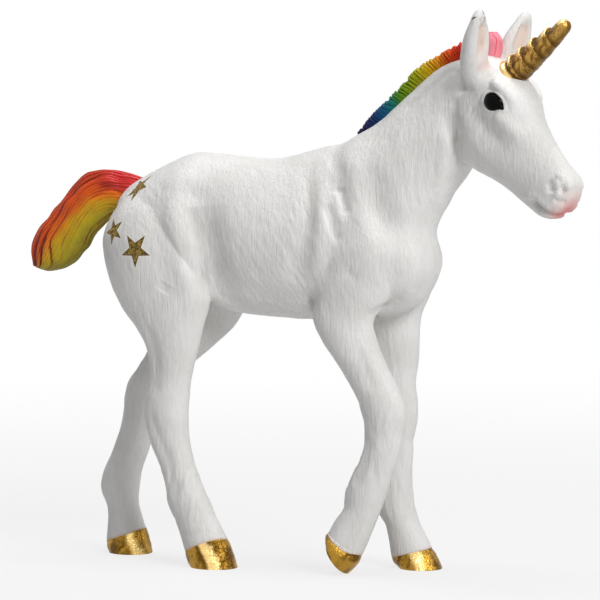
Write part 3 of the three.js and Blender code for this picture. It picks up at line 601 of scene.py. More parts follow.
# Muscles and hollows of the trunk, on its right side: line, depth in mm (minus is carved in), width
trunkForms = [
    ([(-20.6, -8.6, 63.4), (-19.6, -9.2, 59), (-18.6, -9.4, 54), (-17.6, -9, 50), (-17, -8, 46.5)],
     0.85, 2.1),
    ([(-15.0, -8.0, 62.4), (-14.2, -8.4, 58), (-13.2, -8.5, 54), (-12.6, -8, 50.5), (-12.6, -6.6, 47)],
     -1.3, 2.8),
    ([(-20.2, -6.4, 66.6)], 0.35, 2.6),
    ([(-17.0, -7.5, 64.6)], -0.3, 1.8),
    ([(-28.0, -8.9, 57.0)], 0.2, 4.4),
    ([(6.2, -7.4, 66.5), (7.2, -8.2, 61.5), (7.2, -8.6, 56.5), (6.4, -8.6, 51.5)], 0.65, 1.8),
    ([(-4.0, -8.6, 58.0)], 0.4, 6.0),
    ([(-8.5, -7.6, 46.8), (-3.0, -7.8, 46.2), (3.0, -7.8, 46.4), (7.0, -7.6, 46.8)], -0.6, 3.0),
    ([(10.5, -3.3, 72.9), (12, -6.1, 68.8), (13.4, -6.9, 63.8), (15.1, -7.7, 59.6), (17.2, -8.2, 55.4)],
     0.65, 2.2),
    ([(15.8, -6.5, 69.7), (16.6, -7.1, 65.5), (17.6, -6.9, 61.3), (20.2, -6.6, 58)], -0.5, 2.4),
    ([(16.0, -8.5, 54.0)], 0.35, 3.4),
    ([(24.3, -4.6, 55.5), (24.5, -3.7, 51.1), (22.5, -2.1, 46.7)], -0.35, 1.5),
    ([(-15, -5.9, 46.9), (-12.9, -4.6, 45.6), (-10.7, -3.4, 44.8)], 0.5, 1.4),
]
trunkLines = [
    ([(-17.8, -7.8, 62.8), (-15.9, -7.9, 57.3), (-15.2, -7.6, 53.2), (-14.8, -6.5, 48.2)], -0.25, 1.2),
    ([(-20.9, -9.5, 48.9), (-21.7, -9.5, 47.4)], -0.25, 1.1),
    ([(-15, -6.3, 46.2), (-12.9, -5.2, 44.9), (-10.7, -4.2, 44.0)], -0.22, 0.6),
    ([(3.3, -4.7, 69), (4.1, -5.9, 66), (4.9, -7.1, 62.6), (4.9, -7.8, 59.3), (4.3, -8.1, 55.9),
      (3.6, -8, 51)], -0.5, 1.5),
    ([(2.6, -8.2, 56.0), (2.2, -8.3, 52.6), (2.2, -8.0, 49.2)], -0.3, 1.5),
    ([(7.7, -7.6, 63.2), (8.6, -7.8, 61.2), (9.4, -7.9, 58.9), (10.8, -8.1, 56.4)], -0.32, 1.0),
    ([(10.1, -6.5, 66.0), (10.8, -7.0, 63.6), (11.8, -7.5, 61.2)], -0.36, 0.85),
    ([(9.4, -6.9, 65.4), (10.0, -7.5, 62.8), (11.2, -8.2, 59.4)], 0.26, 0.9),
    ([(11.8, -8.9, 52.2), (12.9, -9, 51.2), (14.2, -8.9, 50.8)], -0.2, 1.0),
    ([(14.9, -7.2, 43.8), (16.6, -6.2, 45.1), (18, -4.7, 46.1), (20.8, -5.3, 47.7)], -0.3, 1.0),
    ([(19.5, -3.4, 78.0), (21.6, -3.7, 79.8), (24.2, -4.1, 81.6), (27.2, -3.9, 84.4), (29.8, -4, 86.5)],
     -0.28, 0.9),
    ([(28.4, -5.4, 76.5), (28.2, -5.2, 72), (27.2, -4.0, 67), (25.6, -1.8, 61.4)], 0.25, 1.2),
]
# Lines of a leg, as rib numbers and degrees from the front towards the outer side
hindLines = [
    ([(4.6, 118), (5.6, 120), (6.6, 118), (7.9, 112)], -0.32, 1.2),
    ([(8.3, 116), (9, 116), (9.5, 108), (10.2, 98), (11, 98), (12.3, 103), (13.4, 128)], -0.26, 0.95),
    ([(8.3, -112), (9, -116), (10.2, -100), (12.3, -108)], -0.22, 0.95),
    ([(8.8, 63)], 0.2, 2.2),
    ([(7.8, 178), (8.4, 180), (9.0, 178)], 0.25, 1.5),
    ([(12.4, 176), (13.2, 180), (14.0, 176)], 0.3, 1.5),
    ([(14.4, 150), (14.5, 100), (14.5, 40)], -0.12, 0.6),
]
foreLines = [
    ([(7.6, 36), (8.4, 20), (9.3, 26)], 0.3, 1.8),
    ([(9.6, 60), (9.9, 0), (9.7, -50)], -0.2, 1.0),
    ([(9.8, 128), (11.2, 118), (12.6, 128)], -0.25, 1.1),
    ([(9.8, -128), (11.2, -122), (12.6, -128)], -0.25, 1.1),
    ([(8.2, 160), (9.0, 176)], 0.2, 1.4),
    ([(12.6, 176), (13.3, 180), (14.0, 176)], 0.3, 1.5),
    ([(5.2, 70), (6.6, 75), (7.6, 82)], -0.2, 1.0),
]
# Lines of the head, on its right side in its own frame
headForms = [
    ([(9.2, -5.2, 78.6), (11.6, -4.8, 76.8), (14.4, -4.1, 74.2)], 0.4, 1.2),
    ([(4.6, -5.3, 80.2), (6.4, -5.4, 77.6), (8.8, -5.2, 75.2), (11.4, -4.4, 72.8)], -0.65, 1.7),
    ([(3.2, -4.9, 76.6), (5.0, -4.9, 73.6), (7.6, -4.2, 71.2)], 0.3, 1.5),
    ([(4.8, -5.1, 82.3), (6.9, -5.0, 83.3), (8.8, -4.8, 83.5), (11.4, -4.7, 82.3)], 0.34, 1.0),
    ([(4.2, -4.6, 86.0), (5.6, -4.7, 84.6)], 0.5, 1.5),
    ([(1.8, -4.6, 86.4), (2.2, -4.9, 84.0), (2.8, -5.1, 81.8)], -0.45, 1.3),
    ([(14.2, -4.2, 79.6), (16.0, -3.4, 76.0), (18.6, -2.8, 71.4)], -0.2, 1.1),
    ([(0.2, -5.0, 79.6), (0.0, -5.0, 77.0), (0.4, -4.8, 74.8), (1.4, -4.7, 72.8)], -0.5, 1.7),
    ([(16.6, -2.4, 62.6), (17.8, -2.0, 61.9), (19.0, -1.2, 61.7)], 0.2, 1.0),
]
headLines = [
    ([(4.9, -5.3, 81.0), (6.2, -5.4, 80.4), (6.9, -5.4, 79.8)], -0.15, 0.6),
    ([(15.3, -2.6, 64.4), (16.5, -2.7, 63.6), (18.0, -2.7, 62.7), (19.2, -2.2, 62.1),
      (19.9, -0.9, 61.9), (20.1, 0, 61.9)], -0.85, 0.45),
    ([(15.2, -2.7, 65.3), (16.9, -2.9, 64.4), (18.4, -2.9, 63.5), (19.6, -2.4, 62.9)], 0.22, 0.7),
    ([(14.9, -2.7, 65.0)], 0.3, 0.6),
    ([(19.0, -2.6, 67.7), (19.6, -2.9, 66.8), (19.7, -3.2, 65.6)], -0.36, 0.75),
    ([(20.5, -2.6, 68.0), (21.0, -2.2, 68.4), (21.8, -1.9, 68.1), (22.4, -1.7, 67.1), (22.5, -1.7, 66.0)],
     0.34, 0.75),
    ([(21.3, -2.6, 66.7), (21.7, -2.5, 66.2), (22.0, -2.4, 65.6)], -0.8, 0.5),
    ([(20.6, -3.2, 65.7), (21.3, -3.0, 65.2)], 0.26, 0.8),
    ([(20.2, -3.1, 64.5), (21.1, -2.8, 64.2), (21.7, -2.3, 64.1), (22.1, -1.8, 64.2)], -0.36, 0.5),
]
# Where two forms run into each other and the skin is stretched over them: centre and radius
blendBalls = [
    (-25, 0, 66, 7), (-16, 7, 62, 6), (-16, -7, 62, 6), (-14, 6, 50, 4), (-14, -6, 50, 4),
    (-30, 7, 52, 6), (-30, -7, 52, 6), (-22, 0, 45.5, 5), (10, 7, 62, 9), (10, -7, 62, 9),
    (20, 7, 55, 6), (20, -7, 55, 6), (6, 8, 49, 4), (6, -8, 49, 4),
    (17, 0, 45, 5), (12, 0, 73, 8), (22, 3, 58, 7), (22, -3, 58, 7), (17, 7, 64, 7), (17, -7, 64, 7),
    (31, -5, 84, 4), (31, 4, 84, 4), (33, 0, 72, 4), (30, -1, 86, 4),
    (34, -7.6, 85.2, 3.6), (37, 2.1, 85.2, 3.6), (32.5, -6.0, 86, 2.6), (35, 2.0, 86, 2.6),
]
faceBalls = [(41, -8, 82, 5), (43, 1.5, 82, 5), (34, -6, 75, 6), (36, 3, 75, 6),
             (50, -9, 66.5, 3.2), (51, -5, 66.5, 3.2)]


def buildSkin():
    parts = [ribLoft(trunkRibs, 120), ribLoft(neckRibs, 96), ribLoft(headRibs, 96, place=onHead)]
    parts += [ribLoft(np.vstack([legTable(name), coronetRow(name, 1.5, 0.9)]), 72) for name in legRibs]
    for part in ("brow", "cheek", "nostril"):
        centre, radii, tilt = head[part]
        parts += [ellipsoid(np.array(centre) * (1, side, 1), radii, tilt, onHead) for side in (1, -1)]
    parts += [earLeaf(word) for word in ("left", "right")]
    skin = Skin(voxelSkin(parts, coat["grain"]))
    skin.soften(coat["firstSoften"])
    wide = ballWeights(skin.points, blendBalls)[:, None]
    skin.relax(coat["joinRounds"], wide)
    skin.relax(coat["faceRounds"], ballWeights(skin.points, faceBalls)[:, None])
    skin.soften(coat["lastSoften"])
    skin.refresh()
    print("skin:", skin.count, "points")
    return skin


skin = buildSkin()
legNames = list(legRibs)
sculpt(skin, bothSides(trunkForms))
sculpt(skin, [(onHead(p), d, w) for p, d, w in bothSides(headForms)])
skin.soften(4)
skin.refresh()
legStrokes = [(onLeg(name, path), depth, width) for name in legNames
              for path, depth, width in (hindLines if "hind" in name else foreLines)]
sculpt(skin, bothSides(trunkLines) + legStrokes)
sculpt(skin, [(onHead(p), d, w) for p, d, w in bothSides(headLines)])
print("skin sculpted")


# Eyes: where they sit, and the lids round them

eye = {
    "centre": (9.15, 5.25, 80.6),
    "outline": [(-1.9, 0.35), (-1.6, 1.1), (-0.95, 1.47), (-0.1, 1.5), (0.75, 1.22), (1.3, 0.75), (1.68, 0.2),
                (1.87, -0.55), (2.0, -1.35), (1.4, -1.25), (0.62, -1.42), (-0.2, -1.5), (-0.95, -1.26),
                (-1.55, -0.75), (-1.87, -0.2)],  # forward and up from the centre, in mm
    "dome": 0.85,
    "seat": 0.12,  # how deep the dome's edge and its back lie under the skin
    "back": 0.7,
    "lid": 0.2,  # how high the lid's rim stands
    "lidPlace": (1.13, 0.11),  # place and width of the lid's rim, as shares of the outline's reach
    "fold": 0.12,
    "foldPlace": (1.42, 0.13),
    "sunk": 0.35,  # how deep the skin is pressed in under the eye
}


def eyeRadius(angle):
    # The outline's distance from the centre at each angle, on a closed smooth curve
    ring = np.array(eye["outline"])
    ring = ring[np.argsort(np.arctan2(ring[:, 1], ring[:, 0]))]
    closed = np.concatenate([ring[-3:], ring, ring[:3]])
    fine = curveThrough(closed, 400)[40:-40]
    fineAngle = np.unwrap(np.arctan2(fine[:, 1], fine[:, 0]))
    order = np.argsort(fineAngle)
    span = np.hypot(fine[:, 0], fine[:, 1])[order]
    least = fineAngle[order][0]
    return np.interp((angle - least) % (2 * np.pi) + least, fineAngle[order], span)


def eyeFrame(side):
    # A flat frame on the skin at the eye: forward, up and outward, and the skin's own bulge in it
    centre = onHead(np.array(eye["centre"]) * (1, side, 1))
    distance = np.linalg.norm(skin.points - centre, axis=1)
    near = distance < 2.6
    out = skin.normals[near].mean(0)
    out /= np.linalg.norm(out)
    up = np.array([0, 0, 1.0]) - out * out[2]
    up /= np.linalg.norm(up)
    ahead = np.cross(up, out) * (1 if side > 0 else -1)
    if ahead[0] < 0:
        ahead = -ahead
    local = skin.points[near] - centre
    u, v, w = local @ ahead, local @ up, local @ out
    terms = np.stack([np.ones_like(u), u, v, u * u, u * v, v * v], axis=-1)
    bulge = np.linalg.lstsq(terms, w, rcond=None)[0]
    return centre, ahead, up, out, bulge


def bulgeAt(bulge, u, v):
    return bulge[0] + bulge[1] * u + bulge[2] * v + bulge[3] * u * u + bulge[4] * u * v + bulge[5] * v * v


eyeFrames = {side: eyeFrame(side) for side in (1, -1)}


def carveLids():
    # A thick rim just outside the eye's outline, a fold behind it, and the skin sunk under the eye
    for side, (centre, ahead, up, out, bulge) in eyeFrames.items():
        local = skin.points - centre
        near = np.linalg.norm(local, axis=1) < 4.6
        u, v = local[near] @ ahead, local[near] @ up
        reach = np.hypot(u, v)
        share = reach / eyeRadius(np.arctan2(v, u))
        above = smooth(0.5 + 0.5 * v / np.maximum(reach, 0.1))
        rim = eye["lid"] * (0.9 + 0.5 * above) * bell(share, *eye["lidPlace"])
        fold = -eye["fold"] * above * bell(share, *eye["foldPlace"])
        sunk = -eye["sunk"] * smooth((0.98 - share) / 0.15)
        facing = smooth(skin.normals[near] @ out * 2)
        skin.points[near] += out * (rim + fold + sunk)[:, None] * facing[:, None]
    skin.refresh()


carveLids()
earInside, earTip, earFoot = hollowEars()


# Hair and small lumps in the skin's surface

def strandNoise(points, across, along, seed):
    # Noise stretched along the hair: squeezed across it, long down it, and bent by a slow second noise
    bend = noise(points * 0.09, seed + 1)[:, None] * (2.2, 2.2, 0)
    lean = points[:, 2:] * (0.22 * noise(points * 0.03, seed + 2))[:, None] * (1, 0, 0)
    return noise((points + bend + lean) * (across, across, along), seed)


hairPlaces = [  # where the engraved hair is deepest: centre, radius
    (-10, 0, 53, 12), (4, 0, 58, 14), (7, 0, 50, 8), (-24, 0, 46, 12), (10, 0, 41, 10),
    (-20, 0, 32, 9), (18, -6, 22, 9), (16, 6, 14, 10),
    (-18, -6, 12, 9), (20, 0, 70, 12), (35, -4, 75, 9), (-31, 6, 26, 12),
]


def engrave():
    p = skin.points
    deep = 0.35 + 0.75 * ballWeights(p, hairPlaces)
    deep *= 0.6 + 0.8 * smooth(0.5 + noise(p * 0.13, 31))
    face = offHead(p)
    bare = smooth((face[:, 0] - 11) / 6) * (p[:, 2] > 60)
    lessHair, fewerLumps = coat["barePart"]
    deep *= 1 - lessHair * bare
    lid = np.min([np.linalg.norm(p - f[0], axis=1) for f in eyeFrames.values()], axis=0)
    deep *= smooth((lid - 2.2) / 1.4)
    hair = sum(share * strandNoise(p, across, along, seed) for share, across, along, seed in coat["hair"])
    lumps = noise(p * 0.22, 11) + 0.5 * noise(p * 0.47, 12)
    fine = noise(p * 0.9, 13)
    step = (coat["hairDepth"] * hair * deep + coat["lumpDepth"] * lumps * (1 - fewerLumps * bare)
            + coat["fineDepth"] * fine)
    skin.points = p + skin.normals * step[:, None]
    skin.refresh()


engrave()


def hollows(rounds, size):
    # How far a point lies under the smoothed skin round it, as a share of size; ridges are negative
    kept = skin.points.copy()
    skin.relax(rounds)
    deep = np.einsum("ij,ij->i", skin.points - kept, skin.normals) / size
    skin.points = kept
    return np.clip(deep, -1, 1)


# Paint wash and painted shade: how far each point lies in a crease or hollow, where the coat is painted
# greyer
wash = sum(share * hollows(rounds, size) for share, rounds, size in coat["hollows"])
wash = skin.spread(np.clip(wash, -1, 1), 4)
facePlace = offHead(skin.points)
# Pink is a bell of strong colour round the lips and a wide pale one round the muzzle's end
lips, muzzle = (np.linalg.norm(facePlace - middle, axis=1) for middle in ((20.4, 0, 61.9), (22.6, 0, 64.2)))
lipPink = np.clip(0.9 * np.exp(-(lips / 2.5) ** 2.2) + 0.34 * np.exp(-(muzzle / 3.2) ** 2), 0, 1)
below = np.full(skin.count, -1.5)
# The painted highlight on each hoof's gold
gleam = np.zeros(skin.count)
for name in legNames:
    nearHoof = np.linalg.norm(skin.points[:, [0, 2]] - coronetFrame(name)[1], axis=1) < 5.5
    nearHoof &= skin.points[:, 1] * legSide[name] > 0
    below[nearHoof] = np.clip(belowCoronet(skin.points[nearHoof], name), -1.5, 1.5)
    gleam[nearHoof] = gleamAt(skin.points[nearHoof], name)
skinValues = {"wash": wash, "pink": lipPink, "inside": earInside, "tip": earTip, "foot": earFoot,
              "below": below, "gleam": gleam}
print("skin engraved")


# The skin parted into the solids' pieces

seams = {
    "neck": {"point": (24.6, 0, 58.0), "normal": (16.5, 0, 14.4)},
    "head": {"point": (29.2, 0, 68.0), "normal": (22.5, 0, 0.6), "turn": -12},
    "hind": {"height": 43.0, "edge": -9},  # hind legs lie behind their edge, fore legs in front of theirs
    "fore": {"height": 42.4, "edge": 2.6},
}


def seamNormal(seam):
    # The seam's upward-forward direction, turned about the upright
    x, _, z = np.array(seam["normal"]) / np.linalg.norm(seam["normal"])
    turn = math.radians(seam.get("turn", 0))
    return np.array([x * math.cos(turn), x * math.sin(turn), z])


def earSeam(word):
    root, axis, _, _, length, _ = earFrame(word)
    point, tip = onHead(np.array([root + axis * length * earShape["seam"], root + axis * length]))
    return point, (tip - point) / np.linalg.norm(tip - point)


def partedSkin():
    mesh = skin.mesh
    mesh.vertices.foreach_set("co", skin.points.astype(np.float32).ravel())
    for name, values in skinValues.items():
        layer = mesh.attributes.new(name, "FLOAT", "POINT")
        layer.data.foreach_set("value", values.astype(np.float32))
    work = bmesh.new()
    work.from_mesh(mesh)
    hind, fore = seams["hind"], seams["fore"]
    cuts = [
        (seams["neck"]["point"], seamNormal(seams["neck"]), lambda c: c.z > 40),
        (seams["head"]["point"], seamNormal(seams["head"]), lambda c: c.z > 60),
        ((0, 0, hind["height"]), (0, 0, 1), lambda c: c.x < hind["edge"] and abs(c.z - hind["height"]) < 2),
        ((0, 0, fore["height"]), (0, 0, 1), lambda c: c.x > fore["edge"] and abs(c.z - fore["height"]) < 2),
    ]
    for word in ("left", "right"):
        point, normal = earSeam(word)
        cuts.append((point, normal, lambda c, point=Vector(point): (c - point).length < 4.4))
    for point, normal, wanted in cuts:
        faces = [f for f in work.faces if wanted(f.verts[0].co)]
        edges = {e for f in faces for e in f.edges}
        corners = {v for f in faces for v in f.verts}
        bmesh.ops.bisect_plane(work, geom=[*faces, *edges, *corners], dist=1e-5, plane_co=point,
                               plane_no=tuple(normal))
    bmesh.ops.triangulate(work, faces=work.faces[:])
    work.to_mesh(mesh)
    work.free()
    return mesh


def pieceMarks(centres):
    # Which piece each face belongs to, from the side of each seam its middle is on
    marks = np.full(len(centres), "trunk", dtype=object)
    ahead = {k: (centres - seams[k]["point"]) @ seamNormal(seams[k]) > 0 for k in ("neck", "head")}
    marks[ahead["neck"]] = "neck"
    marks[ahead["head"] & ahead["neck"]] = "head"
    left = centres[:, 1] > 0
    hind = (centres[:, 0] < seams["hind"]["edge"]) & (centres[:, 2] < seams["hind"]["height"])
    fore = (centres[:, 0] > seams["fore"]["edge"]) & (centres[:, 2] < seams["fore"]["height"])
    for mask, name in ((hind & ~left, "right_hind_leg"), (hind & left, "left_hind_leg"),
                       (fore & ~left, "right_fore_leg"), (fore & left, "left_fore_leg")):
        marks[mask] = name
    for word in ("left", "right"):
        point, normal = earSeam(word)
        local = centres - point
        up = local @ normal
        marks[(up > 0) & (np.linalg.norm(local - up[:, None] * normal, axis=1) < 3.7)] = f"{word}_ear"
    return marks


def toFrame(points):
    return (np.asarray(points) + sculptShift) / 1000


def showPiece(name, points, triangles, material, nodes, attributes=None, cornerNormals=None):
    mesh = meshOf(name, toFrame(points), triangles)
    mesh.polygons.foreach_set("use_smooth", np.ones(len(triangles), bool))
    for key, values in (attributes or {}).items():
        layer = mesh.attributes.new(key, "FLOAT", "POINT")
        layer.data.foreach_set("value", np.asarray(values, np.float32))
    if cornerNormals is not None:
        mesh.normals_split_custom_set(cornerNormals.reshape(-1, 3))
    mesh.materials.append(material)
    piece = bpy.data.objects.new(name, mesh)
    bpy.context.scene.collection.objects.link(piece)
    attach(piece, "root")
    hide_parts(*nodes)
    print("piece:", name, len(triangles), "triangles")


def showLoft(node, form, grid, material, values=None):
    # A closed grid as the piece of one node; each value comes with what it is at the two ends
    points, triangles = closedGrid(grid)
    attributes = {key: np.append(inner.ravel(), ends) for key, (inner, *ends) in (values or {}).items()}
    showPiece(f"{node}.{form}", points, triangles, material, [node], attributes)


def cappedPiece(points, triangles, values, normals, marks, name):
    # The faces of one piece, with a fan over each open rim about the rim's own middle
    own = triangles[marks == name]
    used, own = np.unique(own, return_inverse=True)
    own = own.reshape(-1, 3)
    p, n = points[used], normals[used]
    halves = np.concatenate([own[:, [0, 1]], own[:, [1, 2]], own[:, [2, 0]]])
    keys = halves[:, 0].astype(np.int64) * len(p) + halves[:, 1]
    backKeys = halves[:, 1].astype(np.int64) * len(p) + halves[:, 0]
    rim = halves[~np.isin(keys, backKeys)]
    label = np.arange(len(p))  # each rim's points take the least number among them, passed round the rim
    for _ in range(4000):
        before = label.copy()
        np.minimum.at(label, rim[:, 0], label[rim[:, 1]])
        np.minimum.at(label, rim[:, 1], label[rim[:, 0]])
        if np.array_equal(before, label):
            break
    allPoints, caps, capNormals = [p], [], []
    count = len(p)
    for mark in np.unique(label[rim[:, 0]]):
        edges = rim[label[rim[:, 0]] == mark]
        if len(edges) < 12:
            continue
        middle = p[edges[:, 0]].mean(0)
        cap = np.stack([edges[:, 1], edges[:, 0], np.full(len(edges), count)], axis=-1)
        face = np.cross(p[edges[:, 0]] - p[edges[:, 1]], middle - p[edges[:, 1]]).sum(0)
        allPoints.append(middle[None])
        caps.append(cap)
        capNormals.append(np.tile(face / np.linalg.norm(face), (len(edges) * 3, 1)))
        count += 1
    corners = np.concatenate([n[own].reshape(-1, 3), *capNormals])
    extra = count - len(p)
    attributes = {key: np.concatenate([v[used], np.zeros(extra)]) for key, v in values.items()}
    return np.concatenate(allPoints), np.concatenate([own, *caps]), attributes, corners


# Finishes

class Wire:
    # A node's output, so that sums on it are written as sums
    def __init__(self, finish, socket):
        self.finish = finish
        self.socket = socket

    def math(self, operation, *values):
        return self.finish.node("Math", {"operation": operation}, dict(enumerate(values)))

    def __add__(self, other):
        return self.math("ADD", self, other)

    def __radd__(self, other):
        return self.math("ADD", other, self)

    def __sub__(self, other):
        return self.math("SUBTRACT", self, other)

    def __rsub__(self, other):
        return self.math("SUBTRACT", other, self)

    def __mul__(self, other):
        return self.math("MULTIPLY", self, other)

    def __rmul__(self, other):
        return self.math("MULTIPLY", other, self)

    def __truediv__(self, other):
        return self.math("DIVIDE", self, other)

    def __pow__(self, other):
        return self.math("POWER", self, other)

    def __abs__(self):
        return self.math("ABSOLUTE", self)

    def ramp(self, low, high):
        # 0 at low, 1 at high, eased at both ends
        return self.finish.node("MapRange", {"interpolation_type": "SMOOTHSTEP"},
                                {0: self, 1: low, 2: high, 3: 0.0, 4: 1.0})


class Nodes:
    # A node tree: new nodes come from one method, and values or wires go into sockets by another
    def __init__(self, tree):
        self.tree = tree

    def feed(self, socket, value):
        if isinstance(value, Wire):
            self.tree.links.new(value.socket, socket)
        else:
            socket.default_value = value

    def node(self, kind, settings=None, sockets=None, output=0):
        item = self.tree.nodes.new("ShaderNode" + kind)
        for key, value in (settings or {}).items():
            if key == "stops":
                while len(item.color_ramp.elements) < len(value):
                    item.color_ramp.elements.new(0.5)
                for element, (place, rgb) in zip(item.color_ramp.elements, value):
                    element.position = place
                    element.color = colour(*rgb)
            else:
                setattr(item, key, value)
        for key, value in (sockets or {}).items():
            self.feed(item.inputs[key], value)
        return Wire(self, item.outputs[output])


class Finish(Nodes):
    # One material: its nodes, and the shader that they feed
    def __init__(self, name, **constants):
        self.material = bpy.data.materials.new(name)
        self.material.use_nodes = True
        super().__init__(self.material.node_tree)
        self.shader = self.tree.nodes["Principled BSDF"]
        for key, value in constants.items():
            self.feed(self.shader.inputs[key.replace("_", " ")], value)

    def millimetres(self):
        # Object coordinates, back in the sculpt's frame and in millimetres
        place = self.node("TexCoord", output="Object")
        scaled = self.node("VectorMath", {"operation": "SCALE"}, {0: place, "Scale": 1000.0})
        return self.node("VectorMath", {"operation": "SUBTRACT"}, {0: scaled, 1: tuple(sculptShift)})

    def stretched(self, vector, scale):
        return self.node("VectorMath", {"operation": "MULTIPLY"}, {0: vector, 1: scale})

    def noise(self, vector, scale, detail=3.0, rough=0.5, distortion=0.0):
        return self.node("TexNoise", {}, {"Vector": vector, "Scale": scale, "Detail": detail,
                                          "Roughness": rough, "Distortion": distortion})

    def mix(self, factor, first, second, blend="MIX"):
        return self.node("Mix", {"data_type": "RGBA", "blend_type": blend},
                         {0: factor, 6: first, 7: second}, output=2)

    def attribute(self, name):
        return self.node("Attribute", {"attribute_name": name}, output="Fac")

    def bump(self, height, distance, strength=1.0, under=None):
        sockets = {"Height": height, "Distance": distance, "Strength": strength}
        if under is not None:
            sockets["Normal"] = under
        return self.node("Bump", {}, sockets)

    def paint(self, name, value):
        self.feed(self.shader.inputs[name], value)

    def painted(self, base, rough, relief):
        # Feeds the three sockets that change over the surface, and gives the material
        self.paint("Base Color", base)
        self.paint("Roughness", rough)
        self.paint("Normal", relief)
        return self.material


def colour(red, green, blue):
    # An sRGB colour from 0 to 255 as the linear colour that a socket takes
    srgb = np.array([red, green, blue]) / 255
    linear = np.where(srgb <= 0.04045, srgb / 12.92, ((srgb + 0.055) / 1.055) ** 2.4)
    return (*linear.tolist(), 1.0)


starLook = {
    "places": [
        # centre on the skin, outward direction, tip radius, the turn of one tip from straight up, and a
        # stretch: its direction in degrees from level, then its scale along that and across it
        {"centre": (-26.6, -9.8, 54.6), "out": (0, -1, 0.03), "radius": 2.95, "turn": 180,
         "stretch": (80, 1.05, 0.98)},
        {"centre": (-31.2, -8.6, 57.7), "out": (-0.55, -0.81, 0.20), "radius": 2.4, "turn": 188,
         "stretch": (88, 1.06, 0.88)},
        {"centre": (-28.0, -5.2, 65.1), "out": (-0.37, -0.67, 0.64), "radius": 2.5, "turn": -52,
         "stretch": (77, 1.32, 0.76)},
    ],
    "valley": 0.40,  # the inner corners' distance from the centre, as a share of the tips'
    "reach": 4.5,  # no further from the centre than this, in mm
    "dark": colour(74, 56, 20),
    "mid": colour(158, 128, 58),
    "bright": colour(206, 180, 104),
    "edge": colour(58, 44, 18),
    "halo": colour(250, 244, 228),
}


def starAxes(star):
    # The directions that measure the star on its own flat: level and up, unstretched, then turned
    out = np.array(star["out"]) / np.linalg.norm(star["out"])
    up = np.array([0, 0, 1.0]) - out * out[2]
    up /= np.linalg.norm(up)
    level = np.cross(up, out)
    lean, longer, wider = star["stretch"]
    c, s = math.cos(math.radians(lean)), math.sin(math.radians(lean))
    along, across = level * c + up * s, up * c - level * s
    flatLevel = along * (c / longer) - across * (s / wider)
    flatUp = along * (s / longer) + across * (c / wider)
    turn = math.radians(star["turn"])
    return (flatLevel * math.cos(turn) - flatUp * math.sin(turn),
            flatLevel * math.sin(turn) + flatUp * math.cos(turn))


def starMeasure(finish, place, star):
    # Five-fold: the angle is folded into one tip's wedge, where the star's edge is one straight line.
    # The result is 1 on the edge and less inside.
    local = finish.node("VectorMath", {"operation": "SUBTRACT"}, {0: place, 1: star["centre"]})
    across, along = (finish.node("VectorMath", {"operation": "DOT_PRODUCT"}, {0: local, 1: tuple(axis)},
                                 output="Value") for axis in starAxes(star))
    reach = (across * across + along * along) ** 0.5
    wedge = math.radians(72)
    angle = across.math("ARCTAN2", across, along)
    folded = abs(angle.math("FLOORED_MODULO", angle + wedge / 2, wedge) - wedge / 2)
    slope = (1 / starLook["valley"] - math.cos(wedge / 2)) / math.sin(wedge / 2)
    edge = reach * (folded.math("COSINE", folded) + slope * folded.math("SINE", folded)) / star["radius"]
    distance = finish.node("VectorMath", {"operation": "LENGTH"}, {0: local}, output="Value")
    tooFar = distance.math("GREATER_THAN", distance, starLook["reach"])
    return edge + tooFar * 10


coatLook = {
    "white": colour(237, 236, 234),
    "bright": colour(244, 243, 242),
    # the two wash colours are paint wash and painted shade in the creases and hollows
    "wash": colour(190, 187, 181),
    "deepWashAndShade": colour(146, 138, 124),
    "lips": colour(236, 146, 148),
    "blush": colour(244, 210, 206),
    "rim": colour(224, 204, 186),
    "earInside": colour(246, 214, 198),
    "earFoot": colour(246, 200, 202),
    "chip": colour(60, 54, 50),
    "roughness": 0.46,
}
# bright is the painted highlight; dark and mid make the clouds of painted reflection, and dark the scratches
goldLook = {
    "bright": colour(252, 216, 142),
    "mid": colour(178, 136, 52),
    "dark": colour(98, 70, 20),
    "roughness": 0.22,
}


def giltOver(finish, place, body, rough):
    # Gold paint under the coronet's edge: bronze with soft darker clouds that are painted reflections, a
    # bright streak that is a painted highlight, and a bare rim above
    depth = finish.attribute("below")
    gleam = finish.attribute("gleam")
    gilt = depth.ramp(-0.03, 0.06)
    cloud = finish.noise(finish.stretched(place, (0.9, 0.9, 0.5)), 0.5, 2.0, 0.5, 0.6)
    dapple = finish.noise(place, 1.7, 3.0, 0.66, 0.3)
    scratch = finish.noise(finish.stretched(place, (1.0, 1.0, 0.35)), 4.5, 2.0, 0.6)
    tone = cloud * 0.75 + dapple * 0.25
    gold = finish.mix(tone.ramp(0.38, 0.58), goldLook["dark"], goldLook["mid"])
    # Painted highlight: the streak and the lighter clouds turn to bright gold
    shine = (gleam * 1.15 + (scratch - 0.5) * 0.45 + (cloud - 0.5) * 0.5).ramp(0.25, 1.0)
    gold = finish.mix(shine, gold, goldLook["bright"])
    gold = finish.mix(scratch.ramp(0.58, 0.80) * 0.2, gold, goldLook["dark"])
    rim = depth.ramp(-0.42, -0.10) * (1 - gilt)
    body = finish.mix(rim * 0.75, body, coatLook["rim"])
    body = finish.mix(gilt, body, gold)
    rough = rough * (1 - gilt) + gilt * (goldLook["roughness"] + 0.2 * dapple.ramp(0.4, 0.7))
    finish.paint("Metallic", gilt * 0.9)
    return body, rough, gilt * dapple


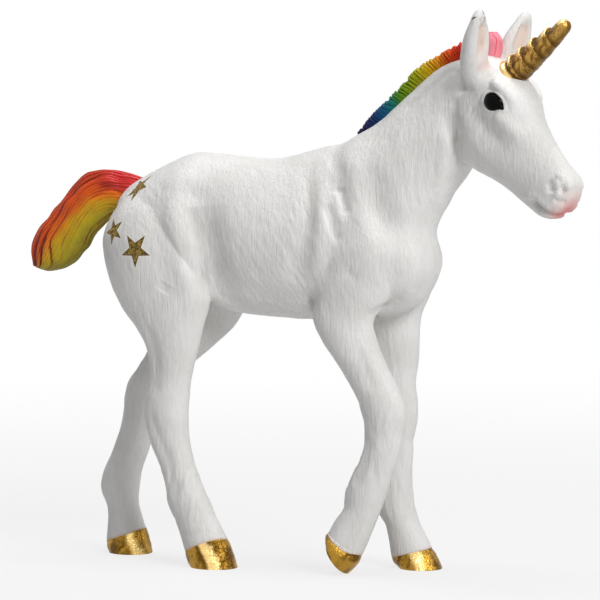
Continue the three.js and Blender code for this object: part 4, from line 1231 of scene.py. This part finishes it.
def coatFinish(name, stars=False, face=False, gilt=False):
    finish = Finish(name, IOR=1.46, Specular_IOR_Level=0.3)
    place = finish.millimetres()
    combed = finish.stretched(place, (1.0, 1.0, 0.16))
    hair = finish.noise(combed, 2.0, 3.0, 0.62, 0.35)
    fine = finish.noise(combed, 4.6, 2.0, 0.6, 0.2)
    patch = finish.noise(place, 0.16, 2.0, 0.5)
    wash = finish.attribute("wash")
    streak = (hair * 0.6 + fine * 0.4).ramp(0.38, 0.66)
    # Paint wash and painted shade: greyer in creases and hollows, browner in the deepest
    hollowWashAndShade = (wash + (hair - 0.5) * 0.5 + (patch - 0.5) * 0.3).ramp(0.05, 1.0)
    deep = (wash + (hair - 0.5) * 0.5).ramp(0.55, 1.3)
    body = finish.mix(patch.ramp(0.35, 0.7), coatLook["white"], coatLook["bright"])
    body = finish.mix(streak * 0.13, body, coatLook["wash"])
    body = finish.mix(hollowWashAndShade * 0.45, body, coatLook["wash"])
    body = finish.mix(deep * 0.45, body, coatLook["deepWashAndShade"])
    rough = coatLook["roughness"] + (hair - 0.5) * 0.16 + hollowWashAndShade * 0.1
    relief = finish.bump(hair, 0.00024, 0.7)
    relief = finish.bump(fine, 0.00011, 0.6, relief)
    if face:
        pink, inside, tip, foot = (finish.attribute(key) for key in ("pink", "inside", "tip", "foot"))
        grain = finish.noise(place, 5.0, 2.0, 0.6)
        body = finish.mix((pink * 1.2 + (grain - 0.5) * 0.1).ramp(0.06, 0.7), body, coatLook["blush"])
        body = finish.mix((pink + (grain - 0.5) * 0.12).ramp(0.30, 1.15), body, coatLook["lips"])
        hollow = (inside * 1.1 + (patch - 0.5) * 0.5).ramp(0.25, 1.15) * 0.6
        body = finish.mix(hollow, body, coatLook["earInside"])
        body = finish.mix((foot + (patch - 0.5) * 0.5).ramp(0.35, 1.3) * 0.5, body, coatLook["earFoot"])
        chips = finish.noise(place, 1.3, 1.0)
        chipped = chips.ramp(0.58, 0.62) * tip.ramp(0.84, 0.90) * (1 - inside)
        body = finish.mix(chipped, body, coatLook["chip"])
    if stars:
        measures = [starMeasure(finish, place, star) for star in starLook["places"]]
        edge = measures[0]
        for other in measures[1:]:
            edge = edge.math("MINIMUM", edge, other)
        inside = 1 - edge.ramp(0.97, 1.03)
        halo = (1 - edge.ramp(1.06, 1.34)) * 0.8
        core = 1 - edge.ramp(0.80, 0.93)
        glitter = finish.noise(place, 2.3, 2.0, 0.7)
        sparks = finish.noise(place, 6.5, 1.0, 0.5)
        gold = finish.mix(glitter.ramp(0.38, 0.62), starLook["dark"], starLook["mid"])
        gold = finish.mix(sparks.ramp(0.56, 0.72) * 0.7, gold, starLook["bright"])
        gold = finish.mix(core, starLook["edge"], gold)
        body = finish.mix(halo, body, starLook["halo"])
        body = finish.mix(inside, body, gold)
        rough = rough * (1 - inside) + inside * (0.34 + 0.2 * glitter)
        finish.paint("Metallic", inside * core * 0.55)
    if gilt:
        body, rough, dimples = giltOver(finish, place, body, rough)
        relief = finish.bump(dimples, 0.00025, 0.5, relief)
    return finish.painted(body, rough, relief)


coats = {
    "plain": coatFinish("whiteCoat"),
    "starred": coatFinish("starredCoat", stars=True),
    "head": coatFinish("headCoat", face=True),
    "leg": coatFinish("hoofedCoat", gilt=True),
}
coatOf = {"trunk": "starred", "neck": "plain"}

bodyMesh = partedSkin()
bodyPoints, bodyTriangles, _ = arraysOf(bodyMesh)
bodyValues = {}
for key in skinValues:
    bodyValues[key] = np.empty(len(bodyPoints))
    bodyMesh.attributes[key].data.foreach_get("value", bodyValues[key])
bodyNormals = vertexNormals(bodyPoints, bodyTriangles)
marks = pieceMarks(bodyPoints[bodyTriangles].mean(1))
for pieceName in ("trunk", "neck", "head", "left_ear", "right_ear", *(f"{leg}_leg" for leg in legNames)):
    points, triangles, attributes, corners = cappedPiece(bodyPoints, bodyTriangles, bodyValues, bodyNormals,
                                                         marks, pieceName)
    kind = coatOf.get(pieceName, "leg" if pieceName.endswith("leg") else "head")
    wanted = {"plain": ("wash",), "starred": ("wash",), "leg": ("wash", "below", "gleam"),
              "head": ("wash", "pink", "inside", "tip", "foot")}[kind]
    showPiece(pieceName + ".skin", points, triangles, coats[kind], [pieceName],
              {key: attributes[key] for key in wanted}, corners)
bpy.data.meshes.remove(bodyMesh)


# Hooves

hoofShape = {
    "soles": {
        # toe and heel in the side view, half width, and how far the wall swells
        "right_hind": ((-9.3, -0.3), (-17.7, -0.3), 3.7, 0.15),
        "left_hind": ((-31.0, -0.3), (-38.8, -0.3), 3.7, 0.15),
        "right_fore": ((11.2, -0.2), (7.6, 4.8), 3.4, 0.35),
        "left_fore": ((23.9, -0.3), (16.4, -0.3), 3.7, 0.2),
    },
    "rings": 90,
    "sides": 140,
    "wave": 0.05,
}


def hoofGrid(name):
    # From inside the leg's end, out under the coronet, down a swelling wall to a bevelled sole
    toe, heel, half, bulge = hoofShape["soles"][name]
    ground = legTable(name)[-1]
    ground[0:2], ground[2:4], ground[4] = toe, heel, half
    lip = coronetRow(name, 0.3, 1.02)
    rows = [coronetRow(name, 0.9, 0.6), coronetRow(name, 0.1, 0.86), coronetRow(name, -0.04, 1.0), lip]
    for t in (0.2, 0.4, 0.6, 0.8, 0.95):
        row = lip + (ground - lip) * t
        swell = bulge * math.sin(math.pi * t ** 0.8)
        lengthways = (row[0:2] - row[2:4]) / np.linalg.norm(row[0:2] - row[2:4])
        row[0:2] += lengthways * swell
        row[2:4] -= lengthways * swell
        row[4] += swell
        rows.append(row)
    middle = (ground[0:2] + ground[2:4]) / 2
    for share in (1.0, 0.965):
        row = ground.copy()
        for k in (0, 2):
            row[k:k + 2] = middle + (ground[k:k + 2] - middle) * share
            row[k:k + 2] += (lip[k:k + 2] - ground[k:k + 2]) * (0.025 if share == 1.0 else 0.0)
        row[4] = ground[4] * share
        rows.append(row)
    places = np.linspace(0, len(rows) - 1, hoofShape["rings"])
    angles = np.arange(hoofShape["sides"]) / hoofShape["sides"] * 2 * np.pi
    grid = sectionPoints(between(rows, places), angles)
    wall = (smooth((places - 2.0) / 0.5) * smooth((len(rows) - 1.6 - places) / 1.0))[:, None]
    depth = belowCoronet(grid.reshape(-1, 3), name).reshape(grid.shape[:2])
    ripple = hoofShape["wave"] * noise(grid * (0.8, 0.8, 2.2), 41)
    step = 0.12 * smooth((0.12 - depth) / 0.16) - 0.03  # the bare rim stands a little proud of the gold
    outward = grid - grid.mean(1, keepdims=True)
    outward /= np.maximum(np.linalg.norm(outward, axis=-1, keepdims=True), 1e-9)
    grid = grid + outward * ((ripple + step) * wall)[..., None]
    gleam = gleamAt(grid.reshape(-1, 3), name)
    return grid, np.clip(depth, -1.5, 1.5), gleam


for leg in legNames:
    grid, depth, gleam = hoofGrid(leg)
    showLoft(f"{leg}_hoof", "gold", grid, coats["leg"],
             {"below": (depth, 1.5, 1.5), "gleam": (gleam, 0, 0), "wash": (0 * gleam, 0, 0)})


# Horn

hornShape = {
    "root": (9.2, 0.0, 85.2),
    "lean": math.radians(36.5),
    "length": 14.6,
    "hidden": 2.2,
    "baseRadius": 2.55,
    "tipRadius": 1.15,
    "fullness": 1.7,
    "knobs": (6.8, 1.8),  # how many knobs lie below a share s: the first * s - the second * s^2
    "slant": 0.55,  # how much of a knob's length a groove climbs on its way round
    "knobDepth": 0.66,
    "knobDrop": (0.86, 0.92),  # where a knob is highest and where it starts to drop, as shares of its length
    "blunt": 0.91,  # where the tip starts to round off
    "collar": 0.16,
    "knobSide": math.radians(-10),  # where the row of knobs lies, from the top towards the horn's right
    "rings": 420,
    "sides": 160,
}


def hornGrid():
    # Slanted grooves go round the horn, further apart towards the tip. Between two of them the wall swells
    # slowly into a knob and drops sharply. They are shallow underneath, where their ends don't meet.
    root, lean = np.array(hornShape["root"]), hornShape["lean"]
    out = np.array([math.cos(lean), 0, math.sin(lean)])
    up = np.array([-math.sin(lean), 0, math.cos(lean)])
    along = np.linspace(-hornShape["hidden"], hornShape["length"], hornShape["rings"])[:, None]
    share = np.clip(along / hornShape["length"], 0, 1)
    angle = np.arange(hornShape["sides"])[None, :] / hornShape["sides"] * 2 * np.pi
    base, tip = hornShape["baseRadius"], hornShape["tipRadius"]
    taper = base + (tip - base) * share ** hornShape["fullness"]
    nose = np.clip((share - hornShape["blunt"]) / 0.09, 0, 1)
    taper = taper * np.sqrt(np.maximum(0.0, 1 - nose ** 2.2) + 0.002)
    side = (angle + np.pi) % (2 * np.pi) - np.pi
    many, fewer = hornShape["knobs"]
    phase = (many * share - fewer * share ** 2 - 0.10 - hornShape["slant"] * side / (2 * np.pi)) % 1.0
    highest, drops = hornShape["knobDrop"]
    knob = smooth(phase / highest) * (1 - smooth((phase - drops) / 0.08))
    row = smooth((np.cos(side - hornShape["knobSide"]) - 0.05) / 0.55)
    crease = bell(row, 0.3, 0.22) * smooth(share * 12) * (1 - nose)
    sunk = (1 - knob) * (0.10 + 0.90 * row) * smooth(share * 14) * (1 - 0.85 * nose)
    collar = hornShape["collar"] * (bell(share, 0.025, 0.03) - bell(share, 0.085, 0.022))
    radius = taper - hornShape["knobDepth"] * (1.05 - 0.3 * share) * sunk - 0.10 * crease + collar
    radius = np.where(along < 0, taper * (1 + 0.3 * along / hornShape["hidden"]), radius)
    axis = root + out * along[..., None]
    grid = (axis + up * (np.cos(angle) * radius)[..., None]
            + np.array([0, 1, 0]) * (np.sin(angle) * radius)[..., None])
    hammered = 0.022 * noise(grid * 1.3, 51) + 0.018 * noise(grid * 3.1, 52)
    grid += (grid - axis) * (hammered * smooth(share * 9))[..., None]
    band = bell(share, 0.03, 0.035) + 0 * angle
    ditch = bell(share, 0.088, 0.022) + 0 * angle
    # Painted shade in the grooves, after each knob's drop, along the crease and in the ditch behind the
    # collar; a painted highlight on the knobs' tops and the collar's band; painted shade underneath
    dark = np.clip(sunk * (0.3 + 0.5 * row) + 0.5 * (1 - knob) ** 3 * smooth(share * 14) * (1 - nose)
                   + 0.45 * crease * (1 - 0.5 * knob) + 0.8 * ditch, 0, 1)
    light = np.clip(row * smooth((knob - 0.72) / 0.25) * (0.4 + 0.6 * np.cos(side)) + 0.8 * band, 0, 1)
    under = smooth((-np.cos(side) - 0.35) / 0.65) * (1 - band)
    return onHead(grid), {"low": dark, "high": light, "under": under}


# under and groove are painted shade, knob is a painted highlight
hornLook = {
    "dark": colour(118, 84, 28),
    "mid": colour(190, 148, 76),
    "under": colour(110, 78, 26),
    "groove": colour(80, 54, 12),
    "knob": colour(255, 220, 150),
}


def hornFinish():
    # Bronze, with a painted highlight on the knobs and the collar, and painted shade after each knob and
    # underneath
    finish = Finish("hornGold", Metallic=0.9)
    place = finish.millimetres()
    low, high, under = (finish.attribute(key) for key in ("low", "high", "under"))
    sand = finish.noise(place, 3.6, 3.0, 0.7)
    hatch = finish.noise(finish.stretched(place, (1.2, 0.5, 0.5)), 0.9, 2.0, 0.55, 0.9)
    tone = (sand * 0.25 + hatch * 0.75).ramp(0.40, 0.60)
    gold = finish.mix(tone, hornLook["dark"], hornLook["mid"])
    # Painted shade underneath and in the grooves, then a painted highlight on the knobs
    gold = finish.mix((under + (hatch - 0.5) * 0.6).ramp(0.2, 1.1) * 0.7, gold, hornLook["under"])
    gold = finish.mix((low + (sand - 0.5) * 0.3).ramp(0.12, 0.7) * 0.9, gold, hornLook["groove"])
    gold = finish.mix((high + (sand - 0.5) * 0.3).ramp(0.15, 0.7) * 0.95, gold, hornLook["knob"])
    relief = finish.bump(sand, 0.00008, 0.6, finish.bump(hatch, 0.0002, 0.4))
    return finish.painted(gold, 0.2 + 0.16 * sand.ramp(0.3, 0.7), relief)


grid, shades = hornGrid()
showLoft("horn", "gold", grid, hornFinish(),
         {key: (values, 0, 0) for key, values in shades.items()})


# Eyes

def eyeGrid(side, rings=40, sides=120):
    # A dome over the almond outline on the skin's own bulge, closed by a shallow back
    centre, ahead, up, out, bulge = eyeFrames[side]
    angle = np.arange(sides)[None, :] / sides * 2 * np.pi
    share = np.sin(np.linspace(0.02, np.pi / 2, rings))[:, None]
    radius = eyeRadius(angle)
    u, v = share * radius * np.cos(angle), share * radius * np.sin(angle)
    rise = np.sqrt(np.maximum(0, 1 - share ** 2))
    front = bulgeAt(bulge, u, v) - eye["seat"] + eye["dome"] * rise ** 1.15
    back = bulgeAt(bulge, u, v) - eye["seat"] - eye["back"] * rise
    faces = [centre + ahead * a[..., None] + up * b[..., None] + out * w[..., None]
             for a, b, w in ((u, v, front), (u[::-1][1:], v[::-1][1:], back[::-1][1:]))]
    return np.concatenate(faces)


eyeFinish = Finish("eyeGloss", Roughness=0.05, IOR=1.45, Specular_IOR_Level=0.07)
eyePlace = eyeFinish.millimetres()
eyeCloud = eyeFinish.noise(eyePlace, 0.9, 2.0)
eyeFinish.paint("Base Color", eyeFinish.mix(eyeCloud.ramp(0.4, 0.7), colour(3, 3, 4), colour(10, 9, 12)))
for word, side in (("left", 1), ("right", -1)):
    showLoft(f"{word}_eye", "dome", eyeGrid(side), eyeFinish.material)


# Tail, mane and forelock: lofts with strands pressed into them

tailShape = {
    "ribs": [
        rib((-27.0, 66.0), (-27.4, 61.0), 2.2), rib((-30.8, 67.2), (-31.6, 60.0), 2.6),
        rib((-35.4, 68.2), (-34.8, 59.6), 3.1), rib((-39.8, 67.6), (-37.0, 58.3), 3.4),
        rib((-43.6, 64.4), (-38.9, 56.4), 3.4), rib((-47.1, 60.7), (-40.5, 53.9), 3.3),
        rib((-49.9, 57.1), (-42.2, 51.7), 3.0), rib((-51.3, 53.4), (-44.8, 50.3), 2.4),
        rib((-50.9, 50.9), (-47.8, 49.9), 1.2),
    ],
    "strands": 15,
    "depth": 0.75,
    "fineDepth": 0.16,
    "lumps": 0.3,
    "drawnIn": 0.12,  # how far the whole tail is drawn in, so that the lumps stay within its outline
    "rings": 320,
    "sides": 280,
}


def lockGrid(shape):
    # The loft of a lock before its grooves, with each point's share of its length and of a turn round it
    share = np.linspace(0, 1, shape["rings"])[:, None]
    turn = np.arange(shape["sides"])[None, :] / shape["sides"]
    numbers = between(shape["ribs"], share[:, 0] * (len(shape["ribs"]) - 1))
    return sectionPoints(numbers, 2 * np.pi * turn[0]), share, turn


def strandGrooves(turn, share, strands, wander, width, seed):
    # Grooves that run along a lock: a bell across each line, its own depth for each strand, drifting slowly.
    # turn is the place round the section from 0 to 1
    circle = np.stack([1.4 * np.cos(2 * np.pi * turn) + 0 * share, 1.4 * np.sin(2 * np.pi * turn) + 0 * share,
                       3.2 * share + 0 * turn], axis=-1)
    drift = wander * noise(circle, seed) + 0.3 * wander * noise(circle * 2.6, seed + 1)
    phase = (strands * turn + drift) % strands
    strand = np.floor(phase).astype(np.int64)
    own = cellHash(strand, strand * 0, strand * 0, seed)
    down = np.stack([strand * 1.7, 5 * share + 0 * turn, 0 * phase], axis=-1)
    fade = 0.35 + 0.65 * smooth(0.5 + noise(down, seed + 2))
    across = np.minimum(phase - strand, 1 - (phase - strand))
    return (0.3 + 0.9 * own) * fade * bell(across, 0, width)


def pressInward(grid, depth):
    # Moves each ring's points towards its middle by the depth
    outward = grid - grid.mean(1, keepdims=True)
    outward /= np.maximum(np.linalg.norm(outward, axis=-1, keepdims=True), 1e-9)
    return grid - outward * depth[..., None]


def tailGrid():
    # The loft with broad and fine grooves; the attributes give each point's place across and along the tail
    grid, share, turn = lockGrid(tailShape)
    broad = strandGrooves(turn + 0.10 * share, share, tailShape["strands"], 1.1, 0.17, 71)
    fine = strandGrooves(turn + 0.10 * share, share, 3 * tailShape["strands"], 1.6, 0.28, 74)
    lumps = tailShape["lumps"] * noise(grid * 0.42, 77)
    ends = smooth(share / 0.12) * (1 - 0.4 * smooth((share - 0.85) / 0.15))
    grooves = (tailShape["depth"] * broad + tailShape["fineDepth"] * fine) * ends
    grid = pressInward(grid, grooves - lumps * smooth(share / 0.12) + tailShape["drawnIn"])
    return grid, 0.5 - 0.5 * np.cos(2 * np.pi * turn) + 0 * share, share + 0 * turn, broad + 0.45 * fine


tailLook = {
    # from the outer side (0) to the inner (1): place and sRGB colour
    "stripes": [
        (0.0, (200, 58, 14)), (0.16, (220, 76, 14)), (0.36, (232, 98, 14)), (0.50, (230, 134, 14)),
        (0.60, (216, 168, 16)), (0.78, (188, 166, 18)), (1.0, (146, 136, 32)),
    ],
    "crimson": colour(216, 40, 46),
    "tip": colour(176, 88, 34),
    "redFurrowShade": colour(132, 26, 10),
    "yellowFurrowShade": colour(158, 76, 10),
}


def tailFinish():
    # Red and orange on the outer side, yellow and olive on the inner, crimson at the top of the root
    finish = Finish("tailPaint", IOR=1.48, Specular_IOR_Level=0.3, Coat_Weight=0.06, Coat_Roughness=0.14)
    place = finish.millimetres()
    side, share, low = (finish.attribute(key) for key in ("side", "share", "low"))
    blur = finish.noise(place, 0.30, 3.0, 0.6)
    fine = finish.noise(place, 1.9, 3.0, 0.6)
    # The border between orange and yellow lies lower at the root and moves outwards down the tail
    level = side + (share - 0.5) * 0.30 + (blur - 0.5) * 0.30 - low * 0.07
    paint = finish.node("ValToRGB", {"stops": tailLook["stripes"]}, {0: level})
    crimson = (1 - share.ramp(0.10, 0.46)) * (1 - side.ramp(0.26, 0.58))
    crimson = (crimson * 1.15 + (blur - 0.5) * 0.5).ramp(0.2, 0.9) * 0.85
    paint = finish.mix(crimson, paint, tailLook["crimson"])
    tip = share.ramp(0.86, 1.0) * (1 - side.ramp(0.3, 0.7))
    paint = finish.mix(tip * 0.6, paint, tailLook["tip"])
    # Painted shade in the grooves: darker red on the outer side, darker orange on the inner
    furrowShade = (low + (fine - 0.5) * 0.3).ramp(0.12, 0.62)
    shadow = finish.mix(side.ramp(0.35, 0.7), tailLook["redFurrowShade"], tailLook["yellowFurrowShade"])
    paint = finish.mix(furrowShade * 0.8, paint, shadow)
    return finish.painted(paint, 0.26 + 0.26 * fine, finish.bump(fine, 0.00012, 0.5))


grid, side, share, low = tailGrid()
showLoft("tail", "hair", grid, tailFinish(),
         {"side": (side, 0.5, 0.5), "share": (share, 0, 1), "low": (low, 0, 0)})

maneShape = {
    "ribs": [
        rib((10.6, 75.0), (11.6, 73.4), 0.5), rib((13.1, 78.0), (14.9, 75.2), 1.0),
        rib((15.9, 80.6), (18.0, 77.8), 1.2), rib((18.7, 83.3), (20.8, 80.2), 1.3, -0.1),
        rib((21.5, 86.1), (23.5, 82.6), 1.3, -0.3), rib((24.6, 87.9), (26.1, 84.6), 1.3, -0.6),
        rib((27.4, 89.3), (28.6, 86.0), 1.3, -1.0), rib((29.8, 90.5), (30.8, 86.9), 1.1, -1.5),
    ],
    "strands": 38,
    "depth": 0.44,
    "fineDepth": 0.12,
    "rings": 560,
    "sides": 110,
}


def maneGrid():
    # Cuts across the crest that lean back as they rise, each with its own depth, and finer ones between
    grid, share, turn = lockGrid(maneShape)
    angle = 2 * np.pi * turn
    flank = np.sign(np.sin(angle)) * smooth(np.abs(np.sin(angle)) * 3)
    here = np.stack([share * 9 + 0 * angle, 0 * share + 1.5 * flank, 0 * share + 1.2 * np.cos(angle)],
                    axis=-1)
    place = (share + 0.034 * np.cos(angle) + 0.020 * noise(here * (1, 0.3, 0.3), 81)
             + 0.005 * noise(here * (2.4, 0.6, 0.6), 82))

    def cuts(count, width, seed):
        phase = count * place + 0.5
        strand = np.floor(phase).astype(np.int64)
        own = cellHash(strand, (flank > 0).astype(np.int64) + 0 * strand, strand * 0, seed)
        across = np.abs(phase - strand - 0.5)
        return (0.1 + 1.1 * own ** 1.5) * bell(across, 0.5, width)

    broad, fine = cuts(maneShape["strands"], 0.15, 83), cuts(3.3 * maneShape["strands"], 0.26, 84)
    crest = np.maximum(0, np.cos(angle))
    notch = 0.35 * np.maximum(0, noise(np.stack([share * 34, 0 * share, 0 * share], axis=-1), 85)) * crest
    ends = smooth(share / 0.05) * smooth((1 - share) / 0.05)
    inward = (maneShape["depth"] * broad * (0.4 + 0.7 * crest) + maneShape["fineDepth"] * fine + notch) * ends
    return pressInward(grid, inward), share + 0 * angle, broad + 0.5 * fine


maneLook = {
    # from the withers (0) to the poll (1): place and sRGB colour
    "stripes": [
        (0.0, (42, 26, 54)), (0.10, (28, 30, 84)), (0.17, (10, 54, 108)), (0.25, (6, 90, 130)),
        (0.32, (10, 126, 118)), (0.38, (74, 142, 24)), (0.48, (140, 168, 16)), (0.58, (190, 184, 16)),
        (0.66, (232, 190, 14)), (0.76, (238, 152, 12)), (0.84, (234, 96, 10)), (0.93, (222, 58, 10)),
        (1.0, (200, 38, 10)),
    ],
    "furrowShade": colour(168, 140, 112),  # the paint is multiplied by this in its furrows
}


def maneFinish():
    # Purple black at the withers through blue, green and yellow to red at the poll
    finish = Finish("manePaint", IOR=1.48, Specular_IOR_Level=0.2)
    place = finish.millimetres()
    share, low = finish.attribute("share"), finish.attribute("low")
    blur = finish.noise(place, 0.7, 2.0)
    fine = finish.noise(place, 2.2, 2.0)
    paint = finish.node("ValToRGB", {"stops": maneLook["stripes"]}, {0: share + (blur - 0.5) * 0.05 + 0.01})
    # Painted shade: the paint is darkened in the grooves
    furrowShade = (low + (fine - 0.5) * 0.3).ramp(0.2, 0.9)
    paint = finish.mix(furrowShade * 0.85, paint, finish.mix(1.0, paint, maneLook["furrowShade"], "MULTIPLY"))
    return finish.painted(paint, 0.32 + 0.2 * fine, finish.bump(fine, 0.00008, 0.5))


grid, share, low = maneGrid()
showLoft("mane", "crest", grid, maneFinish(), {"share": (share, 0, 1), "low": (low, 0, 0)})

forelockShape = {
    "ribs": [
        rib((6.4, 87.2), (3.4, 87.6), 1.2), rib((7.0, 89.2), (3.0, 89.2), 1.5),
        rib((6.9, 91.0), (3.3, 91.0), 1.4), rib((6.0, 92.2), (4.1, 92.2), 0.7),
    ],
    "strands": 9,
    "depth": 0.34,
    "fineDepth": 0.08,
    "rings": 90,
    "sides": 160,
    "colour": colour(250, 152, 168),
    "furrowShade": colour(230, 96, 122),
}


def forelockGrid():
    # A short tuft with a few broad grooves that fan out upwards
    grid, share, turn = lockGrid(forelockShape)
    broad = strandGrooves(turn + 0.03 * share, share, forelockShape["strands"], 0.5, 0.16, 91)
    fine = strandGrooves(turn, share, 2 * forelockShape["strands"], 0.6, 0.25, 94)
    ends = smooth(share / 0.15) * smooth((1.05 - share) / 0.12)
    depth = (forelockShape["depth"] * broad + forelockShape["fineDepth"] * fine) * ends
    return onHead(pressInward(grid, depth)), broad + 0.4 * fine


def forelockFinish():
    finish = Finish("forelockPaint", IOR=1.48, Specular_IOR_Level=0.3)
    place = finish.millimetres()
    low = finish.attribute("low")
    fine = finish.noise(place, 2.0, 2.0)
    # Painted shade in the grooves
    furrowShade = (low + (fine - 0.5) * 0.4).ramp(0.15, 0.9)
    paint = finish.mix(furrowShade, forelockShape["colour"], forelockShape["furrowShade"])
    return finish.painted(paint, 0.36 + 0.2 * fine, finish.bump(fine, 0.00008, 0.5))


grid, low = forelockGrid()
showLoft("forelock", "tuft", grid, forelockFinish(), {"low": (low, 0, 0)})


# Floor, light and camera

studio = {
    "floorSize": 3.0,
    "floorColour": (0.62, 0.62, 0.62, 1.0),
    "floorOwnLight": 0.78,
    "floorFade": (0.06, 0.4),
    "worldStrength": 0.15,
    "target": (0.0, 0.0, 46.0),
    "azimuth": math.radians(22),
    "elevation": math.radians(4),
    "distance": 0.7,
    "lens": 243.6,
    "sensor": 36.0,
    "keyLight": {"place": (0.63, -0.46, 0.50), "size": 0.35, "power": 4.4, "tint": (1.0, 0.995, 0.985)},
    "topLight": {"place": (0.0, 0.0, 0.94), "size": 0.4, "power": 4.4, "tint": (1, 1, 1)},
    "lampAim": (0, 0, 0.045),
}

floorMesh = bpy.data.meshes.new("floor")
reach = studio["floorSize"] / 2
corners = [(-reach, -reach, 0), (reach, -reach, 0), (reach, reach, 0), (-reach, reach, 0)]
floorMesh.from_pydata(corners, [], [(0, 1, 2, 3)])
floor = bpy.data.objects.new("floor", floorMesh)
bpy.context.scene.collection.objects.link(floor)
floorFinish = Finish("paleFloor", Base_Color=studio["floorColour"], Roughness=0.9)
seen = floorFinish.node("LightPath", output="Is Camera Ray")
mirrored = floorFinish.node("LightPath", output="Is Glossy Ray")
shines = floorFinish.node("Emission", {}, {"Color": (1, 1, 1, 1), "Strength": 1.0})
floorPlace = floorFinish.node("TexCoord", output="Object")
farOff = floorFinish.node("VectorMath", {"operation": "LENGTH"}, {0: floorPlace}, output="Value")
share = studio["floorOwnLight"] + (1 - studio["floorOwnLight"]) * farOff.ramp(*studio["floorFade"])
blend = floorFinish.node("MixShader", {}, {0: seen.math("MAXIMUM", seen, mirrored) * share,
                                           1: Wire(floorFinish, floorFinish.shader.outputs[0]), 2: shines})
floorFinish.feed(floorFinish.tree.nodes["Material Output"].inputs[0], blend)
floorMesh.materials.append(floorFinish.material)

world = bpy.data.worlds.new("studio")
bpy.context.scene.world = world
world.use_nodes = True
sky = Nodes(world.node_tree)
seen, mirrored, passed = (sky.node("LightPath", output=f"Is {word} Ray")
                          for word in ("Camera", "Glossy", "Transmission"))
shown = seen.math("MAXIMUM", seen, mirrored.math("MAXIMUM", mirrored, passed))
background = sky.tree.nodes["Background"]
sky.feed(background.inputs["Color"], (1, 1, 1, 1))
sky.feed(background.inputs["Strength"], shown * (1 - studio["worldStrength"]) + studio["worldStrength"])


def softLamp(name, place, size, power, tint):
    light = bpy.data.lights.new(name, "AREA")
    light.shape = "DISK"
    light.size = size
    light.energy = power
    light.color = tint
    lamp = bpy.data.objects.new(name, light)
    lamp.location = place
    lamp.rotation_euler = (Vector(studio["lampAim"]) - Vector(place)).to_track_quat("-Z", "Y").to_euler()
    bpy.context.scene.collection.objects.link(lamp)


for lampName in ("keyLight", "topLight"):
    softLamp(lampName, **studio[lampName])

view = bpy.data.cameras.new("view")
view.lens = studio["lens"]
view.sensor_width = studio["sensor"]
camera = bpy.data.objects.new("view", view)
aim = toFrame(studio["target"])
back = np.array([math.sin(studio["azimuth"]) * math.cos(studio["elevation"]),
                 -math.cos(studio["azimuth"]) * math.cos(studio["elevation"]), math.sin(studio["elevation"])])
camera.location = aim + back * studio["distance"]
camera.rotation_euler = (math.pi / 2 - studio["elevation"], 0.0, studio["azimuth"])
bpy.context.scene.collection.objects.link(camera)
bpy.context.scene.camera = camera
bpy.context.scene.view_settings.view_transform = "Standard"
